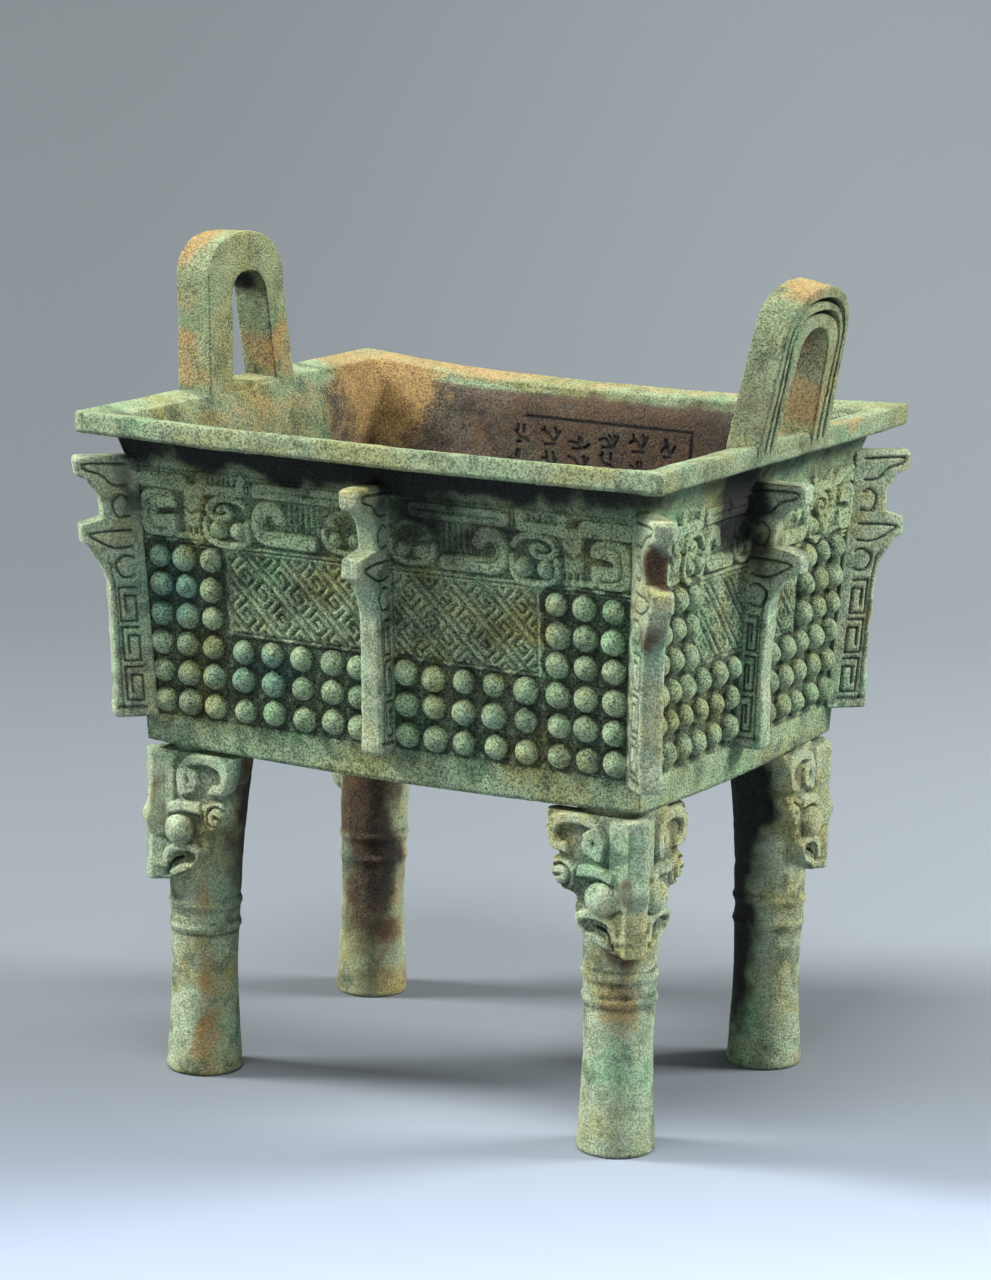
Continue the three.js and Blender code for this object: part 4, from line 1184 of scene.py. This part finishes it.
def bronzeFinish(name, wanted, innerTones=None):
    material = bpy.data.materials.new(name)
    material.use_nodes = True
    tree = material.node_tree
    place = addNode(tree, "ShaderNodeTexCoord", {}).outputs["Object"]

    def noise(label):
        scale, detail, rough = noises[label]
        inputs = {"Vector": place, "Scale": scale, "Detail": detail, "Roughness": rough, "Lacunarity": 2.1}
        return addNode(tree, "ShaderNodeTexNoise", inputs).outputs["Fac"]

    def ramp(value, low, high):
        inputs = {"Value": value, "From Min": low, "From Max": high}
        return addNode(tree, "ShaderNodeMapRange", inputs, interpolation_type="SMOOTHSTEP").outputs["Result"]

    def attribute(label):
        return addNode(tree, "ShaderNodeAttribute", {}, attribute_name=label).outputs["Fac"]

    def calc(operation, a, b):
        return addNode(tree, "ShaderNodeMath", {0: a, 1: b}, operation=operation).outputs["Value"]

    def mix(factor, a, b, blend="MIX"):
        inputs = {"Factor": factor, "A": a, "B": b}
        return addNode(tree, "ShaderNodeMix", inputs, data_type="RGBA", blend_type=blend).outputs["Result"]

    # Where a piece has an inside, its tones change over to the inner ones
    def tone(label):
        if innerTones is None:
            return wanted[label]
        return mix(ramp(attribute("inner"), 0.3, 0.7), wanted[label], innerTones[label])

    wide = noise("wide")
    patchy = noise("patchy")
    blotch = noise("blotch")
    grain = noise("grain")
    openness = attribute("openness")
    crust = calc("ADD", calc("MULTIPLY", blotch, 0.28), calc("MULTIPLY", grain, 0.72))
    light = ramp(crust, 0.40, 0.62)
    color = mix(light, tone("base"), tone("pale"))
    color = mix(ramp(wide, 0.48, 0.66), color, tints["warm"], "MULTIPLY")
    color = mix(ramp(wide, 0.48, 0.32), color, tints["cool"], "MULTIPLY")
    color = mix(ramp(patchy, 0.51, 0.36), color, tints["dark"], "MULTIPLY")

    # Stains from the piece's attributes, each frayed by the crust and with a dark and a light tone
    def stain(color, label, low, high):
        frayed = attribute(label)
        for rough in (crust, blotch):
            frayed = calc("ADD", frayed, calc("MULTIPLY", calc("SUBTRACT", rough, 0.5), patina["fraying"]))
        cover = calc("MULTIPLY", ramp(frayed, low, high), ramp(attribute(label), 0.02, 0.12))
        return mix(cover, color, mix(light, stains[label]["dark"], stains[label]["light"]))

    color = stain(color, "teal", 0.15, 1.0)
    color = stain(color, "ochre", 0.15, 0.85)
    color = stain(color, "brown", 0.15, 0.85)
    specks = addNode(tree, "ShaderNodeTexVoronoi", {"Vector": place, "Scale": patina["speckScale"]})
    speckMask = calc("MULTIPLY", ramp(specks.outputs["Distance"], 0.22, 0.10), ramp(wide, 0.55, 0.68))
    color = mix(calc("MULTIPLY", speckMask, patina["speckStrength"]), color, tone("speck"))
    # Soot, and the painted shadow under the rim, laid on as one dark stain
    color = stain(color, "sootAndShade", 0.10, 0.95)

    # Dirt and painted shade in the hollows, dark pits, and wear with a painted highlight on what stands out
    pit = calc("MULTIPLY", ramp(grain, 0.50, 0.30), wanted["pits"])
    color = mix(pit, color, tone("deep"))
    # Low openness goes over to the deep tone: dirt in the hollows, and painted shade there
    uneven = calc("ADD", openness, calc("MULTIPLY", calc("SUBTRACT", grain, 0.5), 0.3))
    hollow = calc("SUBTRACT", 1, ramp(uneven, 0.14, 0.58))
    color = mix(calc("MULTIPLY", hollow, patina["dirtAndShade"]), color, tone("deep"))
    # Paler where openness is high: wear, and a painted highlight on raised edges and boss tops, less under
    # soot
    worn = calc("MULTIPLY", ramp(openness, 0.60, 0.92), ramp(grain, 0.38, 0.58))
    clean = calc("SUBTRACT", 0.55, calc("MULTIPLY", attribute("sootAndShade"), 0.6))
    color = mix(calc("MULTIPLY", worn, clean), color, tone("pale"))

    rough = calc("ADD", wanted["roughness"] - 0.1, calc("MULTIPLY", blotch, 0.2))
    low = calc("ADD", calc("MULTIPLY", noise("fine"), 0.25), calc("MULTIPLY", blotch, 0.5))
    bump = addNode(tree, "ShaderNodeBump", {"Strength": wanted["grain"], "Distance": patina["bumpHeight"],
                                            "Height": calc("ADD", grain, low)})
    surface = {"Base Color": color, "Roughness": rough, "Metallic": 0.0, "Specular IOR Level": 0.3,
               "Normal": bump.outputs["Normal"]}
    setInputs(tree, tree.nodes["Principled BSDF"], surface)
    return material


finish = {name: bronzeFinish(name, finishes[name]) for name in ("wallPatina", "legPatina", "earPatina")}
finish["rimPatina"] = bronzeFinish("rimAndInsidePatina", finishes["rimPatina"], finishes["insidePatina"])
print("finishes made")

for face in faces:
    makeWall(face, finish["wallPatina"])
print("walls carved")

tree = bossTree()
for face in faces:
    makeBosses(face, tree, finish["wallPatina"])
print("bosses placed")

rimAndInside(finish["rimPatina"])
print("rim and inside made")

corners = {"FrontRight": (1, -1), "BackRight": (1, 1), "BackLeft": (-1, 1), "FrontLeft": (-1, -1)}
sides = {"Front": (0, -1), "Right": (1, 0), "Back": (0, 1), "Left": (-1, 0)}
for name, (outX, outY) in corners.items():
    seed = 1 + len(name) * outX + 3 * outY
    makeFlange("flange" + name, flangePlan["corner"], outX, outY, seed, finish["legPatina"])
    makeLeg("leg" + name, outX, outY, seed, finish["legPatina"])
    makeMask("mask" + name, outX, outY, seed, finish["legPatina"])
for name, (outX, outY) in sides.items():
    makeFlange("flange" + name, flangePlan["centre"], outX, outY, 4 + outX + 2 * outY, finish["legPatina"])
print("flanges, legs and masks made")

makeEar("earRight", 1, "right", 3, finish["earPatina"])
makeEar("earLeft", -1, "left", 40, finish["earPatina"])
print("ears made")
print("pieces", pieceCount["pieces"], "triangles", pieceCount["triangles"])

# Studio: a pale sweep, lamps low at both sides and a soft light overhead, seen along the camera's heading.
# The sweep's colour holds painted shade: darker from under the vessel backwards and to the left, lighter to
# the right.
studio = {
    "sweep": {"half": 3.2, "front": -2.6, "back": 0.75, "bend": 0.8, "top": 3.2},
    "frontTone": (0.325, 0.380, 0.50),
    "middleShadeTone": (0.163, 0.183, 0.198),
    "backShadeTone": (0.172, 0.194, 0.204),
    "leftShade": 0.82,
    "rightShade": 1.10,
    "aim": (0, 0, 0.13),
    "lamps": [
        {"name": "leftLight", "place": (-1.15, 0.10, 1.02), "size": 0.36, "power": 40},
        {"name": "rightLight", "place": (1.25, 0.12, 1.0), "size": 0.5, "power": 38},
        {"name": "frontLight", "place": (-0.45, -1.6, 1.05), "size": 1.3, "power": 6},
        {"name": "topLight", "place": (-0.15, -0.50, 1.7), "size": 0.5, "power": 23},
    ],
    "air": (0.90, 0.95, 1.0),
    "airStrength": 0.17,
}


def makeStudio():
    sweepPlan = studio["sweep"]
    bend = sweepPlan["bend"]
    profile = [(sweepPlan["front"], 0.0), (sweepPlan["back"], 0.0)]
    for step in range(1, 13):
        angle = step / 12 * math.pi / 2
        profile.append((sweepPlan["back"] + bend * math.sin(angle), bend * (1 - math.cos(angle))))
    profile.append((sweepPlan["back"] + bend, sweepPlan["top"]))
    vertices = [(x, y, z) for y, z in profile for x in (-sweepPlan["half"], sweepPlan["half"])]
    polygons = [[2 * i, 2 * i + 1, 2 * i + 3, 2 * i + 2] for i in range(len(profile) - 1)]
    mesh = bpy.data.meshes.new("studioSweep")
    mesh.from_pydata(vertices, [], polygons)
    mesh.shade_smooth()
    sweep = bpy.data.objects.new("studioSweep", mesh)
    sweep.rotation_euler = (0, 0, math.radians(cameraPlan["azimuth"]))
    bpy.context.scene.collection.objects.link(sweep)
    material = bpy.data.materials.new("studioPaper")
    material.use_nodes = True
    tree = material.node_tree
    place = addNode(tree, "ShaderNodeTexCoord", {})
    split = addNode(tree, "ShaderNodeSeparateXYZ", {"Vector": place.outputs["Object"]})

    def mix(factor, a, b, blend="MIX"):
        inputs = {"Factor": factor, "A": a, "B": b}
        return addNode(tree, "ShaderNodeMix", inputs, data_type="RGBA", blend_type=blend).outputs["Result"]

    def along(axis, low, high, a, b):
        inputs = {"Value": split.outputs[axis], "From Min": low, "From Max": high}
        rise = addNode(tree, "ShaderNodeMapRange", inputs, interpolation_type="SMOOTHSTEP")
        return mix(rise.outputs["Result"], a, b)

    # Painted shade on the sweep: darker under and behind the vessel, darker on the left and lighter on the
    # right
    tone = along("Y", -0.32, 0.02, studio["frontTone"], studio["middleShadeTone"])
    tone = along("Y", 0.7, 1.5, tone, studio["backShadeTone"])
    shade = along("X", -0.3, 0.3, (studio["leftShade"],) * 3, (studio["rightShade"],) * 3)
    setInputs(tree, tree.nodes["Principled BSDF"], {"Base Color": mix(1, tone, shade, "MULTIPLY"),
                                                    "Roughness": 0.9, "Specular IOR Level": 0.15})
    mesh.materials.append(material)
    turn = Matrix.Rotation(math.radians(cameraPlan["azimuth"]), 3, "Z")
    for wanted in studio["lamps"]:
        lamp = bpy.data.lights.new(wanted["name"], "AREA")
        lamp.shape = "SQUARE"
        lamp.size = wanted["size"]
        lamp.energy = wanted["power"]
        holder = bpy.data.objects.new(wanted["name"], lamp)
        holder.location = turn @ Vector(wanted["place"])
        heading = Vector(studio["aim"]) - holder.location
        holder.rotation_euler = heading.to_track_quat("-Z", "Y").to_euler()
        bpy.context.scene.collection.objects.link(holder)
    world = bpy.data.worlds.new("studioAir")
    bpy.context.scene.world = world
    world.use_nodes = True
    background = world.node_tree.nodes["Background"]
    setInputs(world.node_tree, background, {"Color": studio["air"], "Strength": studio["airStrength"]})


# Camera: turned round the vessel, tipped down, and rolled a little, as the photo was taken
cameraPlan = {
    "azimuth": 28.98,
    "elevation": 11.51,
    "roll": 1.25,
    "distance": 1.3319,
    "target": (-2.4, 4.6, 145.6),
    "lens": 112.07,
    "sensor": 36.0,
}


def makeCamera():
    azimuth = math.radians(cameraPlan["azimuth"])
    elevation = math.radians(cameraPlan["elevation"])
    roll = math.radians(cameraPlan["roll"])
    level = math.cos(elevation)
    back = Vector((math.sin(azimuth) * level, -math.cos(azimuth) * level, math.sin(elevation)))
    right = Vector((math.cos(azimuth), math.sin(azimuth), 0))
    up = back.cross(right)
    rolledRight = math.cos(roll) * right + math.sin(roll) * up
    rolledUp = -math.sin(roll) * right + math.cos(roll) * up
    target = Vector(cameraPlan["target"]) * 0.001 + Vector((shiftX * 0.001, 0, 0))
    data = bpy.data.cameras.new("photoCamera")
    data.lens = cameraPlan["lens"]
    data.sensor_width = cameraPlan["sensor"]
    data.sensor_fit = "AUTO"
    data.clip_start = 0.05
    data.clip_end = 20
    camera = bpy.data.objects.new("photoCamera", data)
    axes = Matrix((rolledRight, rolledUp, back)).transposed().to_4x4()
    camera.matrix_world = Matrix.Translation(target + back * cameraPlan["distance"]) @ axes
    bpy.context.scene.collection.objects.link(camera)
    bpy.context.scene.camera = camera


bpy.context.scene.view_settings.view_transform = "Standard"
makeStudio()
makeCamera()
print("studio and camera set")
